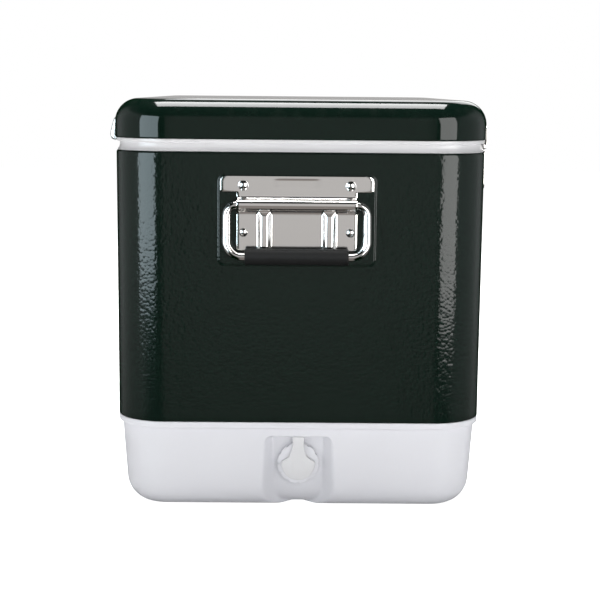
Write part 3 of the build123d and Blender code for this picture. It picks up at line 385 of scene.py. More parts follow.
# %% The finishes of this chest
FINISH = {
    "base_plastic": finish("base_plastic", (0.66, 0.66, 0.70), (0.71, 0.71, 0.745), 0.42, scale=1500.0,
                           depth=0.00002, dust=0.2, dust_colour=(0.55, 0.53, 0.50), specular=0.4),
    "liner_plastic": finish("liner_plastic", (0.66, 0.655, 0.67), (0.70, 0.695, 0.71), 0.30, scale=700.0,
                            depth=0.00001, dust=0.05, specular=0.45),
    "plug_plastic": finish("plug_plastic", (0.63, 0.63, 0.645), (0.68, 0.675, 0.69), 0.45, scale=1100.0,
                           depth=0.00002, dust=0.1, specular=0.4),
    "belt_enamel": finish("belt_enamel", (0.0030, 0.0088, 0.0062), (0.0042, 0.0110, 0.0078), 0.13,
                          scale=300.0, depth=0.00015, unevenness=0.6, dust=0.05, scuffs=0.1,
                          specular=0.31),
    "lid_enamel": finish("lid_enamel", (0.0026, 0.0088, 0.0060), (0.0034, 0.0104, 0.0070), 0.07,
                         scale=120.0, depth=0.00003, unevenness=0.5, dust=0.05, scuffs=0.08,
                         specular=0.27, rough_spread=0.02),
    "bracket_steel": finish("bracket_steel", (0.90, 0.88, 0.86), (0.95, 0.93, 0.91), 0.13, metallic=1.0,
                            relief="brushed", scale=1400.0, depth=0.000006, stretch=(1, 0.03, 1), dust=0.05,
                            scuffs=0.2),
    "latch_steel": finish("latch_steel", (0.70, 0.69, 0.68), (0.78, 0.77, 0.76), 0.32, metallic=1.0,
                          relief="brushed", scale=1400.0, depth=0.000006, stretch=(1, 1, 0.03), dust=0.05,
                          scuffs=0.2),
    "zinc_steel": finish("zinc_steel", (0.50, 0.51, 0.53), (0.60, 0.61, 0.62), 0.38, metallic=1.0,
                         scale=160.0, depth=0.00001, dust=0.05, scuffs=0.3),
    "bright_steel": finish("bright_steel", (0.70, 0.69, 0.68), (0.76, 0.75, 0.74), 0.09, metallic=1.0,
                           relief="brushed", scale=900.0, depth=0.000003, stretch=(0.2, 1, 1), dust=0.05,
                           scuffs=0.15, rough_spread=0.04),
    "grip_rubber": finish("grip_rubber", (0.006, 0.006, 0.006), (0.011, 0.011, 0.011), 0.55, scale=1300.0,
                          depth=0.00004, dust=0.03, dust_colour=(0.06, 0.06, 0.06), specular=0.14),
    "foam": finish("foam", (0.72, 0.62, 0.40), (0.82, 0.73, 0.50), 0.85, scale=700.0, depth=0.0004,
                   dust=0.1, specular=0.2),
    "floor_paper": finish("floor_paper", (0.88, 0.88, 0.88), (0.90, 0.90, 0.90), 0.9, scale=400.0,
                          depth=0.00002, dust=0.0, scuffs=0.0, specular=0.0),
}


def lift_to_white(material, amount):
    """Adds a glow that only the camera sees, so that paper far from the lamps still reads white."""
    tree = material.node_tree
    path, glow = add_nodes(tree, path="ShaderNodeLightPath", glow="ShaderNodeMath")
    glow.operation = "MULTIPLY"
    glow.inputs[1].default_value = amount
    tree.links.new(path.outputs["Is Camera Ray"], glow.inputs[0])
    tree.links.new(glow.outputs[0], tree.nodes["Principled BSDF"].inputs["Emission Strength"])
    tree.nodes["Principled BSDF"].inputs["Emission Color"].default_value = (1, 1, 1, 1)


lift_to_white(FINISH["floor_paper"], 0.9)
floor.data.materials.append(FINISH["floor_paper"])
print("materials:", ", ".join(FINISH))

# %% [markdown]
# ## Making surfaces
#
# Every new piece is a grid of points.  A grid is worked out as one array, with a row for each
# place on its profile and a column for each place round its outline, and the quads between
# neighbours follow by counting.  `make_piece` joins grids, gives sheet metal its thickness with a
# Solidify modifier, and hands the piece to its body.

# %% Grids and pieces
def grid(points, wrap_columns=True, wrap_rows=False, keep=None, flip=False):
    """(points, faces) of a grid; keep is a mask of the cells that stay."""
    rows, columns = points.shape[:2]
    row = np.arange(rows if wrap_rows else rows - 1)[:, None]
    column = np.arange(columns if wrap_columns else columns - 1)[None, :]
    right = (column + 1) % columns
    above = (row + 1) % rows
    corners = [row * columns + column, row * columns + right,
               above * columns + right, above * columns + column]
    faces = np.stack(corners[::-1] if flip else corners, axis=-1)
    faces = faces[keep] if keep is not None else faces.reshape(-1, 4)
    return points.reshape(-1, 3), faces.tolist()


def fan(ring, centre, flip=False):
    """Closes a ring of points to one centre: a narrow flat border, then triangles.

    The border keeps the bend at the ring from tinting the shading of the whole flat.
    """
    count = len(ring)
    border = centre + (ring - centre) * 0.985
    first = np.arange(count)
    second = (first + 1) % count
    hub = np.full(count, 2 * count)
    quads = np.stack([first, second, second + count, first + count], axis=-1)
    triangles = np.stack([first + count, second + count, hub], axis=-1)
    faces = [face[::-1] if flip else face for face in quads.tolist() + triangles.tolist()]
    return np.vstack([ring, border, centre]), faces


def joined(parts):
    """Several (points, faces) as one, each part's faces counted on from the points before it."""
    points, faces, start = [], [], 0
    for part_points, part_faces in parts:
        points.append(part_points)
        faces += [[start + corner for corner in face] for face in part_faces]
        start += len(part_points)
    return np.vstack(points), faces


def signed_volume(mesh):
    """Volume in cubic centimetres by the divergence rule; it is negative if the faces look inwards."""
    mesh.calc_loop_triangles()
    place = np.zeros(len(mesh.vertices) * 3)
    mesh.vertices.foreach_get("co", place)
    corner = np.zeros(len(mesh.loop_triangles) * 3, int)
    mesh.loop_triangles.foreach_get("vertices", corner)
    a, b, c = place.reshape(-1, 3)[corner.reshape(-1, 3)].transpose(1, 0, 2)
    return float(np.einsum("ij,ij->i", a, np.cross(b, c)).sum() / 6 * 1e6), len(mesh.loop_triangles)


def make_piece(name, parts, slot, body, replaces=None, thickness=0.0, bevel=0.0, sharp=35.0, weld=0.001):
    """A finished piece from parts in millimetres: welded, thickened, bevelled and put on its body."""
    points, faces = joined(parts)
    rough = bpy.data.meshes.new(name + "_rough")
    rough.from_pydata((points * MM).tolist(), [], faces)
    piece = bpy.data.objects.new(name, rough)
    bpy.context.scene.collection.objects.link(piece)
    merge = piece.modifiers.new("weld", "WELD")
    merge.merge_threshold = weld * MM
    if thickness:
        wall = piece.modifiers.new("wall", "SOLIDIFY")
        wall.thickness = thickness * MM
        wall.offset = -1.0
    if bevel:
        edge = piece.modifiers.new("edge", "BEVEL")
        edge.width = bevel * MM
        edge.segments = 2
        edge.limit_method = "ANGLE"
        edge.angle_limit = math.radians(60)
    view = bpy.context.evaluated_depsgraph_get()
    mesh = bpy.data.meshes.new_from_object(piece.evaluated_get(view))
    mesh.name = name
    piece.modifiers.clear()
    piece.data = mesh
    bpy.data.meshes.remove(rough)
    mesh.polygons.foreach_set("use_smooth", np.ones(len(mesh.polygons), bool))
    mesh.set_sharp_from_angle(angle=math.radians(sharp))
    mesh.materials.clear()
    mesh.materials.append(FINISH[slot])
    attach(piece, body)
    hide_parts(replaces or name.removesuffix("_skin"))
    volume, triangles = signed_volume(mesh)
    print(f"{name}: {triangles} triangles, {volume:.1f} cm3")
    return piece


# %% [markdown]
# ## Rounded outlines
#
# Base, belt, liner and lid all follow one rounded rectangle, only moved in or out a little.  Laying
# the columns out the same way on every ring lets a profile be carried round it.  Columns are packed
# where the end walls carry detail, and stay wide apart on the long plain sides.

# %% Rings round the chest
def smooth(t):
    """0 below 0, 1 above 1 and an even S between them."""
    t = np.clip(t, 0.0, 1.0)
    return t * t * (3.0 - 2.0 * t)


def soft_ramp(t, soft=0.12):
    """Straight ramp from 0 to 1 with both corners rounded over the width soft."""
    def above(v):
        return np.where(v > soft, v, np.where(v < -soft, 0.0, (v + soft) ** 2 / (4 * soft)))
    return above(t) - above(t - 1.0)


def arc(centre, radius, start, end, count=8):
    """Points on a circle between two angles in degrees, as (across, up) rows."""
    turn = np.radians(np.linspace(start, end, count))
    return np.stack([centre[0] + radius * np.cos(turn), centre[1] + radius * np.sin(turn)], axis=-1)


def stations(limit, step, fine=(), fine_step=1.0):
    """Places from -limit to limit every step, with extra ones inside each (low, high) of fine."""
    places = [np.linspace(-limit, limit, int(round(2 * limit / step)) + 1)]
    keep = places[0]
    for low, high in fine:
        keep = keep[(keep < low - fine_step / 2) | (keep > high + fine_step / 2)]
        places.append(np.linspace(low, high, int(round((high - low) / fine_step)) + 1))
    return np.unique(np.round(np.concatenate([keep] + places[1:]), 4))


def rings(half_x, half_y, radius, z, end_share, side_share, turns=15):
    """Rounded rectangles as rows of a grid, anticlockwise from the +X end.

    A ring is four straights, cut at the given shares of their half length, and four quarter circles.
    """
    half_x, half_y, radius, z = (np.asarray(v, float).reshape(-1, 1) for v in (half_x, half_y, radius, z))
    flat_x, flat_y = half_x - radius, half_y - radius
    quarter = np.linspace(0, np.pi / 2, turns)
    across, along = [], []
    for side in range(4):
        c, s = (1, 0, -1, 0)[side], (0, 1, 0, -1)[side]
        share = end_share if side == 0 else end_share[::-1] if side == 2 else -side_share * s
        across.append(c * half_x + 0 * share if c else flat_x * share)
        along.append(s * half_y + 0 * share if s else flat_y * share)
        turn = quarter + side * np.pi / 2
        corner_x = (1, -1, -1, 1)[side]
        corner_y = (1, 1, -1, -1)[side]
        across.append(corner_x * flat_x + radius * np.cos(turn))
        along.append(corner_y * flat_y + radius * np.sin(turn))
    x = np.concatenate(across, axis=1)
    y = np.concatenate(along, axis=1)
    return np.stack([x, y, z + 0 * x], axis=-1)


belt_low, belt_high = node_box("steel_belt")
PAD_PROUD = 1.2
END_X = belt_high[0] - PAD_PROUD
SIDE_Y = belt_high[1]
BODY_CORNER = 53.0
FLAT_Y = SIDE_Y - BODY_CORNER
BASE_TOP, BELT_TOP = belt_low[2], belt_high[2]
SIDE_SHARE = np.linspace(-0.9, 0.9, 10)


def body_rings(profile, end_places):
    """Rings of the belt's outline moved in by profile[:, 0] at the heights profile[:, 1]."""
    inset, z = profile[:, 0], profile[:, 1]
    return rings(END_X - inset, SIDE_Y - inset, BODY_CORNER - inset, z, end_places / FLAT_Y, SIDE_SHARE)


print("belt outline", 2 * END_X, "by", 2 * SIDE_Y, "mm")

# %% [markdown]
# ## Base tray
#
# The tray is one white moulding: a flat bottom, a wide rounded edge, slightly leaning walls and a
# small rim under the belt.  The drain end has a recess.  Cutting the recess with a boolean would
# leave hard creases, so the wall itself is pushed in: each column of the end wall follows its own
# profile, which runs up the back of the recess and out along its ceiling.

# %% The tray's profile and its recess
TRAY_STEP, RIM_LOW = 3.9, 93.5
LEAN = math.radians(3.94)
TRAY_EDGE = 30.0
DRAIN_Z = 51.8
CEILING = 83.0
RECESS_DEPTH = 13.0
TRAY_WALL = 3.0
NOZZLE_HOLE, HOLE_BLOCK, HOLE_REACH = 14.1, 9.0, 22.0
SEAT_X, SEAT_RADIUS = 268.6, 24.0
FOLD_LOW, FOLD_HIGH = 79.0, 87.0          # the rows between these make the recess's ceiling
CEILING_FLAT, CEILING_ROUND = 30.0, 7.0   # half width of its flat part, radius of its corners
MOUTH_HALF = (47.5, 37.0)                 # half width of the mouth, at the foot and at the ceiling
BACK_HALF = (32.0, 27.0)                  # the same for the recess's back
FLANK_X, FLANK_RUN = 268.0, 16.0
WALL_TOP = 91.31               # highest row of the pan's plain wall


def tray_profile():
    """(inset, z) from the flat bottom, round the edge, up the wall and over the rim."""
    at_floor = TRAY_STEP + RIM_LOW * math.tan(LEAN)
    edge_inset = at_floor - TRAY_EDGE * math.tan(LEAN) + TRAY_EDGE / math.cos(LEAN)
    edge = arc((edge_inset, TRAY_EDGE), TRAY_EDGE, -90.0, -180.0 - math.degrees(-LEAN), 16)
    wall_z = np.concatenate([np.arange(DRAIN_Z - 22.5, CEILING - 4, 1.5),
                             np.linspace(FOLD_LOW, FOLD_HIGH, 18), [88.5, 90.0, 91.3]])
    wall = np.stack([TRAY_STEP + (RIM_LOW - wall_z) * math.tan(LEAN), wall_z], axis=-1)
    under_rim = arc((TRAY_STEP - 1.2, RIM_LOW - 1.2), 1.2, 0.0, 90.0, 5)
    rim = arc((1.3, RIM_LOW + 1.3), 1.3, -90.0, -180.0, 6)
    top = arc((1.0, BASE_TOP - 1.0), 1.0, 180.0, 90.0, 5)
    upstand = np.array([[1.3, BASE_TOP + 0.1], [1.3, BASE_TOP + 18.0]])
    return np.vstack([edge, wall, under_rim, rim, top, upstand])


def recess_depth(x, y, z):
    """How far the pocket goes in from a wall point: its flanks flare towards the mouth and the foot."""
    rise = (z + 10.0) / (CEILING + 10.0)
    mouth_half = MOUTH_HALF[0] + rise * (MOUTH_HALF[1] - MOUTH_HALF[0])
    back_half = BACK_HALF[0] + rise * (BACK_HALF[1] - BACK_HALF[0])
    flank_x = FLANK_X + FLANK_RUN * (np.abs(y) - back_half) / (mouth_half - back_half)
    return RECESS_DEPTH * soft_ramp((x - flank_x) / RECESS_DEPTH, 0.16)


def open_hole(y, z, centre_z, block, radius, reach):
    """Pushes a square block of the grid's lines onto a circle, fading out at the reach.

    A point keeps its direction from the centre; its distance is the circle's at the block's edge and
    its own again beyond the reach.
    """
    up = z - centre_z
    square = np.maximum(np.abs(y), np.abs(up))
    distance = np.maximum(np.hypot(y, up), 1e-6)
    fade = smooth((square - block) / (reach - block))
    wanted = np.where(square < block, radius * square / block, radius + 0.6 * (square - block))
    scale = ((1 - fade) * wanted + fade * distance) / distance
    scale = np.where(square < reach, scale, 1.0)
    return y * scale, centre_z + up * scale


def tray_points(end_places):
    """The tray's rings, with the drain end's columns pushed in."""
    profile = tray_profile()
    points = body_rings(profile, end_places)
    end = slice(0, len(end_places))
    y, z = points[:, end, 1].copy(), points[:, end, 2].copy()
    y, z = open_hole(y, z, DRAIN_Z, HOLE_BLOCK, NOZZLE_HOLE, HOLE_REACH)
    outside = np.clip(np.abs(y) - CEILING_FLAT, 0.0, CEILING_ROUND - 0.1)
    drop = CEILING_ROUND - np.sqrt(CEILING_ROUND ** 2 - outside ** 2)
    drop = drop * (1.0 - smooth((np.abs(y) - CEILING_FLAT - CEILING_ROUND) / 12.0))
    top = CEILING - drop
    share = np.clip((z - FOLD_LOW) / (FOLD_HIGH - FOLD_LOW), 0.0, 1.0)
    in_ceiling = (z > FOLD_LOW - 0.001) & (z < FOLD_HIGH + 0.001)
    lower = z - drop * smooth((z - 60.0) / 19.0)
    upper = z - drop * (1.0 - smooth((z - FOLD_HIGH) / 6.0))
    folded = top - 4.0 + 4.0 * smooth(share / 0.45) + 4.0 * smooth((share - 0.55) / 0.45)
    wall_z = np.where(z < FOLD_LOW, lower, np.where(in_ceiling, folded, upper))
    rising = np.maximum.accumulate(profile[:, 1])
    body = np.arange(len(profile)) < np.argmax(profile[:, 1] > WALL_TOP)
    wall_x = END_X - np.interp(wall_z, rising[body], profile[body, 0])
    wall_x = np.where(z <= 0.001, points[:, end, 0], wall_x)
    depth = recess_depth(wall_x, y, np.minimum(wall_z, top))
    fading = np.where(in_ceiling, 1.0 - smooth((share - 0.25) / 0.5), 0.0)
    kept = np.where(z < FOLD_LOW, 1.0, fading)
    x = wall_x - depth * kept
    seat = (1.0 - smooth((np.hypot(y, wall_z - DRAIN_Z) - SEAT_RADIUS) / 1.5)) * (z < FOLD_LOW)
    x = x + (SEAT_X - x) * seat
    on_wall = (z <= WALL_TOP) & body[:, None]
    points[:, end, 0] = np.where(on_wall, x, points[:, end, 0])
    points[:, end, 1] = np.where(on_wall, y, points[:, end, 1])
    points[:, end, 2] = np.where(on_wall, wall_z, points[:, end, 2])
    return points, profile


def hole_mask(points, flat_y, flat_z, centre_z, block, columns):
    """True for the cells to keep: all but those inside the square block, judged before it was pushed."""
    rows = points.shape[0] - 1
    keep = np.ones((rows, points.shape[1]), bool)
    mid_y = (flat_y[:-1] + flat_y[1:]) / 2
    mid_z = (flat_z[:-1] + flat_z[1:]) / 2
    inside = (np.abs(mid_z - centre_z) < block)[:, None] & (np.abs(mid_y) < block)[None, :]
    keep[:, :columns - 1][inside] = False
    return keep


tray_places = stations(141.0, 12.0, [(-51.0, 51.0)], 1.5)
tray_grid, tray_rows = tray_points(tray_places)
tray_keep = hole_mask(tray_grid, tray_places, tray_rows[:, 1], DRAIN_Z, HOLE_BLOCK, len(tray_places))
bottom = fan(tray_grid[0], (0.0, 0.0, 0.0), flip=True)
make_piece("base_tray_skin", [grid(tray_grid, keep=tray_keep), bottom], "base_plastic", "root",
           thickness=TRAY_WALL, sharp=50)

# %% [markdown]
# ## Steel belt
#
# The belt is one band of sheet wrapped round the body.  Its top edge is rolled in over the liner and
# each end carries a shallow pressed pad under the handle.  It is a profile carried round the ring;
# the pad is a rounded-rectangle ramp added to the end walls.

# %% Belt surface
HANDLE_Y = -3.6
PAD_HALF = 83.8
PAD_LOW, PAD_HIGH = 271.8, 368.0
PAD_CORNER = 7.0
PAD_BAND = 8.4                 # how far the close lines reach on both sides of the pad's edge
HEM_RADIUS = 3.5
BELT_SHEET = 1.0


def rounded_distance(across, up, half_across, half_up, corner):
    """Distance inside a rounded rectangle centred on zero; negative outside."""
    a = np.abs(across) - (half_across - corner)
    b = np.abs(up) - (half_up - corner)
    outside = np.hypot(np.maximum(a, 0.0), np.maximum(b, 0.0))
    return corner - outside - np.minimum(np.maximum(a, b), 0.0)


def belt_profile():
    """(inset, z): a tight turn at the foot, the wall, and the rolled hem that turns in at the top."""
    foot = arc((0.8, BASE_TOP + 0.8), 0.8, -90.0, -180.0, 4)
    wall_z = np.unique(np.concatenate([np.linspace(BASE_TOP + 6, BELT_TOP - 6, 24),
                                       np.arange(PAD_LOW - 1.2, PAD_LOW + PAD_BAND, 0.6),
                                       np.arange(PAD_HIGH - PAD_BAND, PAD_HIGH + 1.2, 0.6)]))
    wall = np.stack([0 * wall_z, wall_z], axis=-1)
    hem = arc((HEM_RADIUS, BELT_TOP - HEM_RADIUS), HEM_RADIUS, 180.0, 90.0, 9)
    return np.vstack([foot, wall, hem, [[8.0, BELT_TOP]]])


def belt_points(end_places):
    """The belt's rings with the two pads raised on the end walls."""
    points = body_rings(belt_profile(), end_places)
    x, y, z = points[..., 0], points[..., 1], points[..., 2]
    middle = (PAD_LOW + PAD_HIGH) / 2
    inside = rounded_distance(y - HANDLE_Y, z - middle, PAD_HALF, PAD_HIGH - middle, PAD_CORNER)
    on_end = np.abs(x) > END_X - 0.01
    points[..., 0] += np.sign(x) * on_end * PAD_PROUD * soft_ramp(inside / 1.3, 0.25)
    return points


pad_edges = [HANDLE_Y + side * PAD_HALF for side in (-1, 1)]
edges = [(y - PAD_BAND, y + PAD_BAND) for y in pad_edges]
belt_grid = belt_points(stations(144.0, 12.0, edges, 0.6))
make_piece("steel_belt_skin", [grid(belt_grid)], "belt_enamel", "root", thickness=BELT_SHEET)

# %% [markdown]
# ## Lid shell and lid liner
#
# The lid is a deep-drawn steel shell with generous corners and a small rolled lower edge.  Under it
# sits the white liner: a flange that shows as a thin line, and a tapered plug that drops into the
# chest.  Both are profiles carried round rings whose corner radius shrinks as they move in.

# %% Lid shell
lid_low, lid_high = node_box("lid_shell")
LID_CORNER = 60.0
LID_EDGE = 26.0
LID_SHEET = 1.2
LID_TURNS = 25                 # points on each quarter of the lid's rings


def lid_rings(profile):
    """Rings of the lid's outline moved in by profile[:, 0] at the heights profile[:, 1]."""
    inset, z = profile[:, 0], profile[:, 1]
    return rings(lid_high[0] - inset, lid_high[1] - inset, LID_CORNER - inset, z,
                 SIDE_SHARE, SIDE_SHARE, turns=LID_TURNS)


def lid_profile():
    """(inset, z): turned-in hem, rolled lower edge, upright wall, round shoulder, flat top."""
    roll = arc((1.8, lid_low[2] + 1.8), 1.8, -90.0, -180.0, 7)
    shoulder = arc((LID_EDGE, lid_high[2] - LID_EDGE), LID_EDGE, 180.0, 90.0, 25)
    wall = np.array([[0.0, z] for z in np.linspace(lid_low[2] + 4, lid_high[2] - LID_EDGE - 1.5, 5)])
    flat = np.array([[32.0, lid_high[2]], [45.0, lid_high[2]]])
    return np.vstack([[[7.0, lid_low[2]]], roll, wall, shoulder, flat])


lid_grid = lid_rings(lid_profile())
lid_top = fan(lid_grid[-1], (0.0, 0.0, lid_high[2]))
make_piece("lid_shell_skin", [grid(lid_grid), lid_top], "lid_enamel", "lid", thickness=LID_SHEET)

# %% Lid liner
liner_low, liner_high = node_box("lid_liner")
PLUG_HALF = (250.5, 163.0)
PLUG_CORNER = 36.0
PLUG_LEAN = math.radians(8.0)
PLUG_FOOT = 4.0                # radius of the plug's lower edge
DISH_RISE = 1.5                # the plug's underside is dished by this much
LID_LINER_SHEET = 1.4


def lid_liner_rings():
    """Flange edge first, then in along its underside, down the plug and round onto its floor."""
    flange = np.vstack([[[12.0, liner_high[2]]], arc((3.8, liner_high[2] - 0.8), 0.8, 90.0, 180.0, 5),
                        arc((3.8, liner_high[2] - 1.8), 0.8, 180.0, 270.0, 5)])
    shoulder = liner_high[2] - 2.6
    outer = lid_rings(flange)
    turn_in = arc((-2.5, shoulder - 2.5), 2.5, 90.0, 8.0, 6)
    depth = shoulder - liner_low[2]
    foot_inset = (depth - PLUG_FOOT) * math.tan(PLUG_LEAN) + PLUG_FOOT
    foot = arc((foot_inset, liner_low[2] + PLUG_FOOT), PLUG_FOOT, 172.0, 270.0, 8)
    dish = [[foot_inset + 14.0, liner_low[2]], [foot_inset + 17.0, liner_low[2] + DISH_RISE]]
    plug = np.vstack([turn_in, foot, dish])
    inner = rings(PLUG_HALF[0] - plug[:, 0], PLUG_HALF[1] - plug[:, 0],
                  np.maximum(PLUG_CORNER - plug[:, 0], 4.0), plug[:, 1],
                  SIDE_SHARE, SIDE_SHARE, turns=LID_TURNS)
    return np.concatenate([outer, inner])


lid_liner_grid = lid_liner_rings()
pan = fan(lid_liner_grid[-1], (0.0, 0.0, liner_low[2] + DISH_RISE))
make_piece("lid_liner_skin", [grid(lid_liner_grid), pan], "liner_plastic", "lid", thickness=LID_LINER_SHEET)

# %% [markdown]
# ## Inner liner
#
# The white liner is the collar seen between belt and lid, the deck that the lid closes on, and the
# cavity.  Following it from the outside of the collar, over the deck and down into the cavity gives
# one open profile, so a single grid makes the whole vacuum-formed skin.

# %% Liner surface
COLLAR_TOP = node_box("inner_liner")[1][2]
CAVITY_HALF = (255.5, 168.0)
CAVITY_CORNER = 40.0
CAVITY_FLOOR = 38.0
CAVITY_LEAN = math.radians(2.5)
CAVITY_EDGE = 12.0
LINER_SHEET = 2.4
LINER_HOLE_Z = DRAIN_Z + 1.0
LINER_HOLE, LINER_BLOCK, LINER_REACH = 11.5, 6.0, 17.0


def cavity_profile():
    """(inset from the mouth, z): rounded lip, leaning wall, rounded floor edge."""
    lip = arc((-2.5, COLLAR_TOP - 2.5), 2.5, 90.0, 0.0, 6)
    wall_z = np.concatenate([np.linspace(COLLAR_TOP - 12, 90.0, 14), np.arange(81.8, 52.0, -2.0)])
    wall = np.stack([(COLLAR_TOP - wall_z) * math.tan(CAVITY_LEAN), wall_z], axis=-1)
    edge_z = CAVITY_FLOOR + CAVITY_EDGE
    centre = (COLLAR_TOP - edge_z) * math.tan(CAVITY_LEAN) + CAVITY_EDGE
    edge = arc((centre, edge_z), CAVITY_EDGE, 180.0, 270.0, 13)
    return np.vstack([lip, wall, edge])


def liner_points(end_places):
    """Collar and deck as rings of the body, the cavity as rings of its own."""
    collar = np.vstack([[[1.2, BELT_TOP + 0.1], [1.7, BELT_TOP + 1.0], [3.2, BELT_TOP + 2.4]],
                        arc((5.4, COLLAR_TOP - 1.4), 1.4, 180.0, 90.0, 7), [[16.0, COLLAR_TOP]]])
    outer = body_rings(collar, end_places)
    wall = cavity_profile()
    corner = CAVITY_CORNER - np.maximum(wall[:, 0], 0) * 0.6
    inner = rings(CAVITY_HALF[0] - wall[:, 0], CAVITY_HALF[1] - wall[:, 0], corner, wall[:, 1],
                  end_places / FLAT_Y, SIDE_SHARE)
    end = slice(0, len(end_places))
    y, z = open_hole(inner[:, end, 1], inner[:, end, 2], LINER_HOLE_Z, LINER_BLOCK, LINER_HOLE, LINER_REACH)
    order = np.argsort(wall[:, 1])
    x = CAVITY_HALF[0] - np.interp(z, wall[order, 1], wall[order, 0])
    inner[:, end] = np.stack([x, y, z], axis=-1)
    return np.concatenate([outer, inner]), len(collar)


liner_places = stations(141.0, 12.0, [(-24.0, 24.0)], 2.0)
liner_grid, collar_rows = liner_points(liner_places)
flat_z = np.concatenate([np.full(collar_rows, COLLAR_TOP), cavity_profile()[:, 1]])
liner_keep = hole_mask(liner_grid, liner_places, flat_z, LINER_HOLE_Z, LINER_BLOCK, len(liner_places))
cavity_floor = fan(liner_grid[-1], (0.0, 0.0, CAVITY_FLOOR))
make_piece("inner_liner_skin", [grid(liner_grid, keep=liner_keep), cavity_floor],
           "liner_plastic", "root", thickness=LINER_SHEET, sharp=50)

# %% [markdown]
# ## Handle brackets
#
# Each bracket is one stamping.  Its sheet lies on the pad, rolls out over the wire as a hinge, lies
# flat again and carries two stiffening ribs.  Seen from the side this is a single line of straights
# and arcs, so the surface is that line carried across the width, with the ribs and a blank stamped
# panel added as ramps.  The flange's ears come from letting the width change along the line.

# %% Bracket surface
bracket_low, bracket_high = node_box("drain_end_bracket")
PLATE_X = END_X + PAD_PROUD + 1.5
ROLL_X, ROLL_Z = bracket_high[0] - 6.0, 337.0
ROLL_RADIUS, ROLL_BLEND = 6.0, 4.0
PLATE_HALF, FLANGE_HALF = 63.6, 80.95
FLANGE_FOOT = 350.8
RIB_PLACE, RIB_HALF, RIB_HEIGHT, RIB_TOP = 34.4, 7.55, 4.0, 330.0
RIB_FLANK = RIB_HEIGHT * math.tan(math.radians(48.0))
BLANK_Z, BLANK_HALF, BLANK_HALF_HIGH, BLANK_DEPTH = 358.9, 23.0, 5.2, 0.35
BRACKET_SHEET, SHEET_BEVEL = 1.4, 0.25


def bracket_line():
    """(x, z) down the middle of the stamping and (half width, edge z) of its outline, row by row."""
    top, foot = bracket_high[2], bracket_low[2]
    ear = arc((FLANGE_HALF - 5.8, top - 5.8), 5.8, 90.0, 0.0, 8)
    drop = [[FLANGE_HALF, z] for z in (358.5, 356.0, 353.6)]
    under = arc((FLANGE_HALF - 2.0, FLANGE_FOOT + 2.0), 2.0, 0.0, -90.0, 5)
    inward = [[half, FLANGE_FOOT] for half in (75.0, 71.0, 67.5)]
    corner = arc((PLATE_HALF + 1.5, FLANGE_FOOT - 1.5), 1.5, 90.0, 180.0, 4)
    outline = np.vstack([ear, drop, under, inward, corner, [[PLATE_HALF, 348.2]]])
    middle = np.linspace(top, 348.2, len(outline))
    plate = np.stack([np.full(len(outline), PLATE_X), middle], axis=-1)
    blend_x = PLATE_X + ROLL_BLEND
    rise = math.sqrt((ROLL_RADIUS + ROLL_BLEND) ** 2 - (blend_x - ROLL_X) ** 2)
    tilt = math.degrees(math.atan2(rise, blend_x - ROLL_X))
    upper = arc((blend_x, ROLL_Z + rise), ROLL_BLEND, 180.0, 180.0 + tilt, 9)
    roll = arc((ROLL_X, ROLL_Z), ROLL_RADIUS, tilt, -tilt, 25)[1:-1]
    lower = arc((blend_x, ROLL_Z - rise), ROLL_BLEND, 180.0 - tilt, 180.0, 9)
    lower_z = np.arange(325.4, foot + 0.5, -1.3)
    flat = np.stack([np.full(len(lower_z) + 1, PLATE_X), np.append(lower_z, foot)], axis=-1)
    rest = np.vstack([upper, roll, lower, flat])
    edge = np.stack([np.full(len(rest), PLATE_HALF), rest[:, 1]], axis=-1)
    edge[-1, 0] = PLATE_HALF - 0.8
    return np.vstack([plate, rest]), np.vstack([outline, edge])


def bracket_points(facing):
    """The line carried across the width; inner rows bow towards the outline only close to its edge."""
    line, outline = bracket_line()
    share = stations(1.0, 0.05, [(-0.69, -0.39), (0.39, 0.69)], 0.0125)
    near = np.abs(share) ** 10
    half, edge_z = outline[:, :1], outline[:, 1:]
    y = half * share
    z = line[:, 1:] * (1 - near) + edge_z * near
    x = line[:, :1] + 0 * y
    from_rib = np.minimum(RIB_HALF - np.abs(np.abs(y) - RIB_PLACE),
                          np.minimum(RIB_TOP - z, z - bracket_low[2] + 1.5))
    x = x + RIB_HEIGHT * soft_ramp(from_rib / RIB_FLANK, 0.14)
    panel = rounded_distance(y, z - BLANK_Z, BLANK_HALF, BLANK_HALF_HIGH, 1.6)
    x = x - BLANK_DEPTH * soft_ramp(panel / 0.8, 0.3)
    return np.stack([facing * x, y + HANDLE_Y, z], axis=-1)


ENDS = (("drain_end", 1), ("plain_end", -1))
for end_name, facing in ENDS:
    skin = grid(bracket_points(facing), wrap_columns=False, flip=facing > 0)
    make_piece(end_name + "_bracket_skin", [skin], "bracket_steel", "root",
               thickness=BRACKET_SHEET, bevel=SHEET_BEVEL, sharp=40)

# %% [markdown]
# ## Wire bails and grips
#
# A bail is round wire bent in one plane, so it is a circle swept along straights and arcs.  The
# path lies in a plane, and the plane's own normal keeps the circle from twisting.  The grip is a
# tube of black rubber: a small outline turned about the wire.

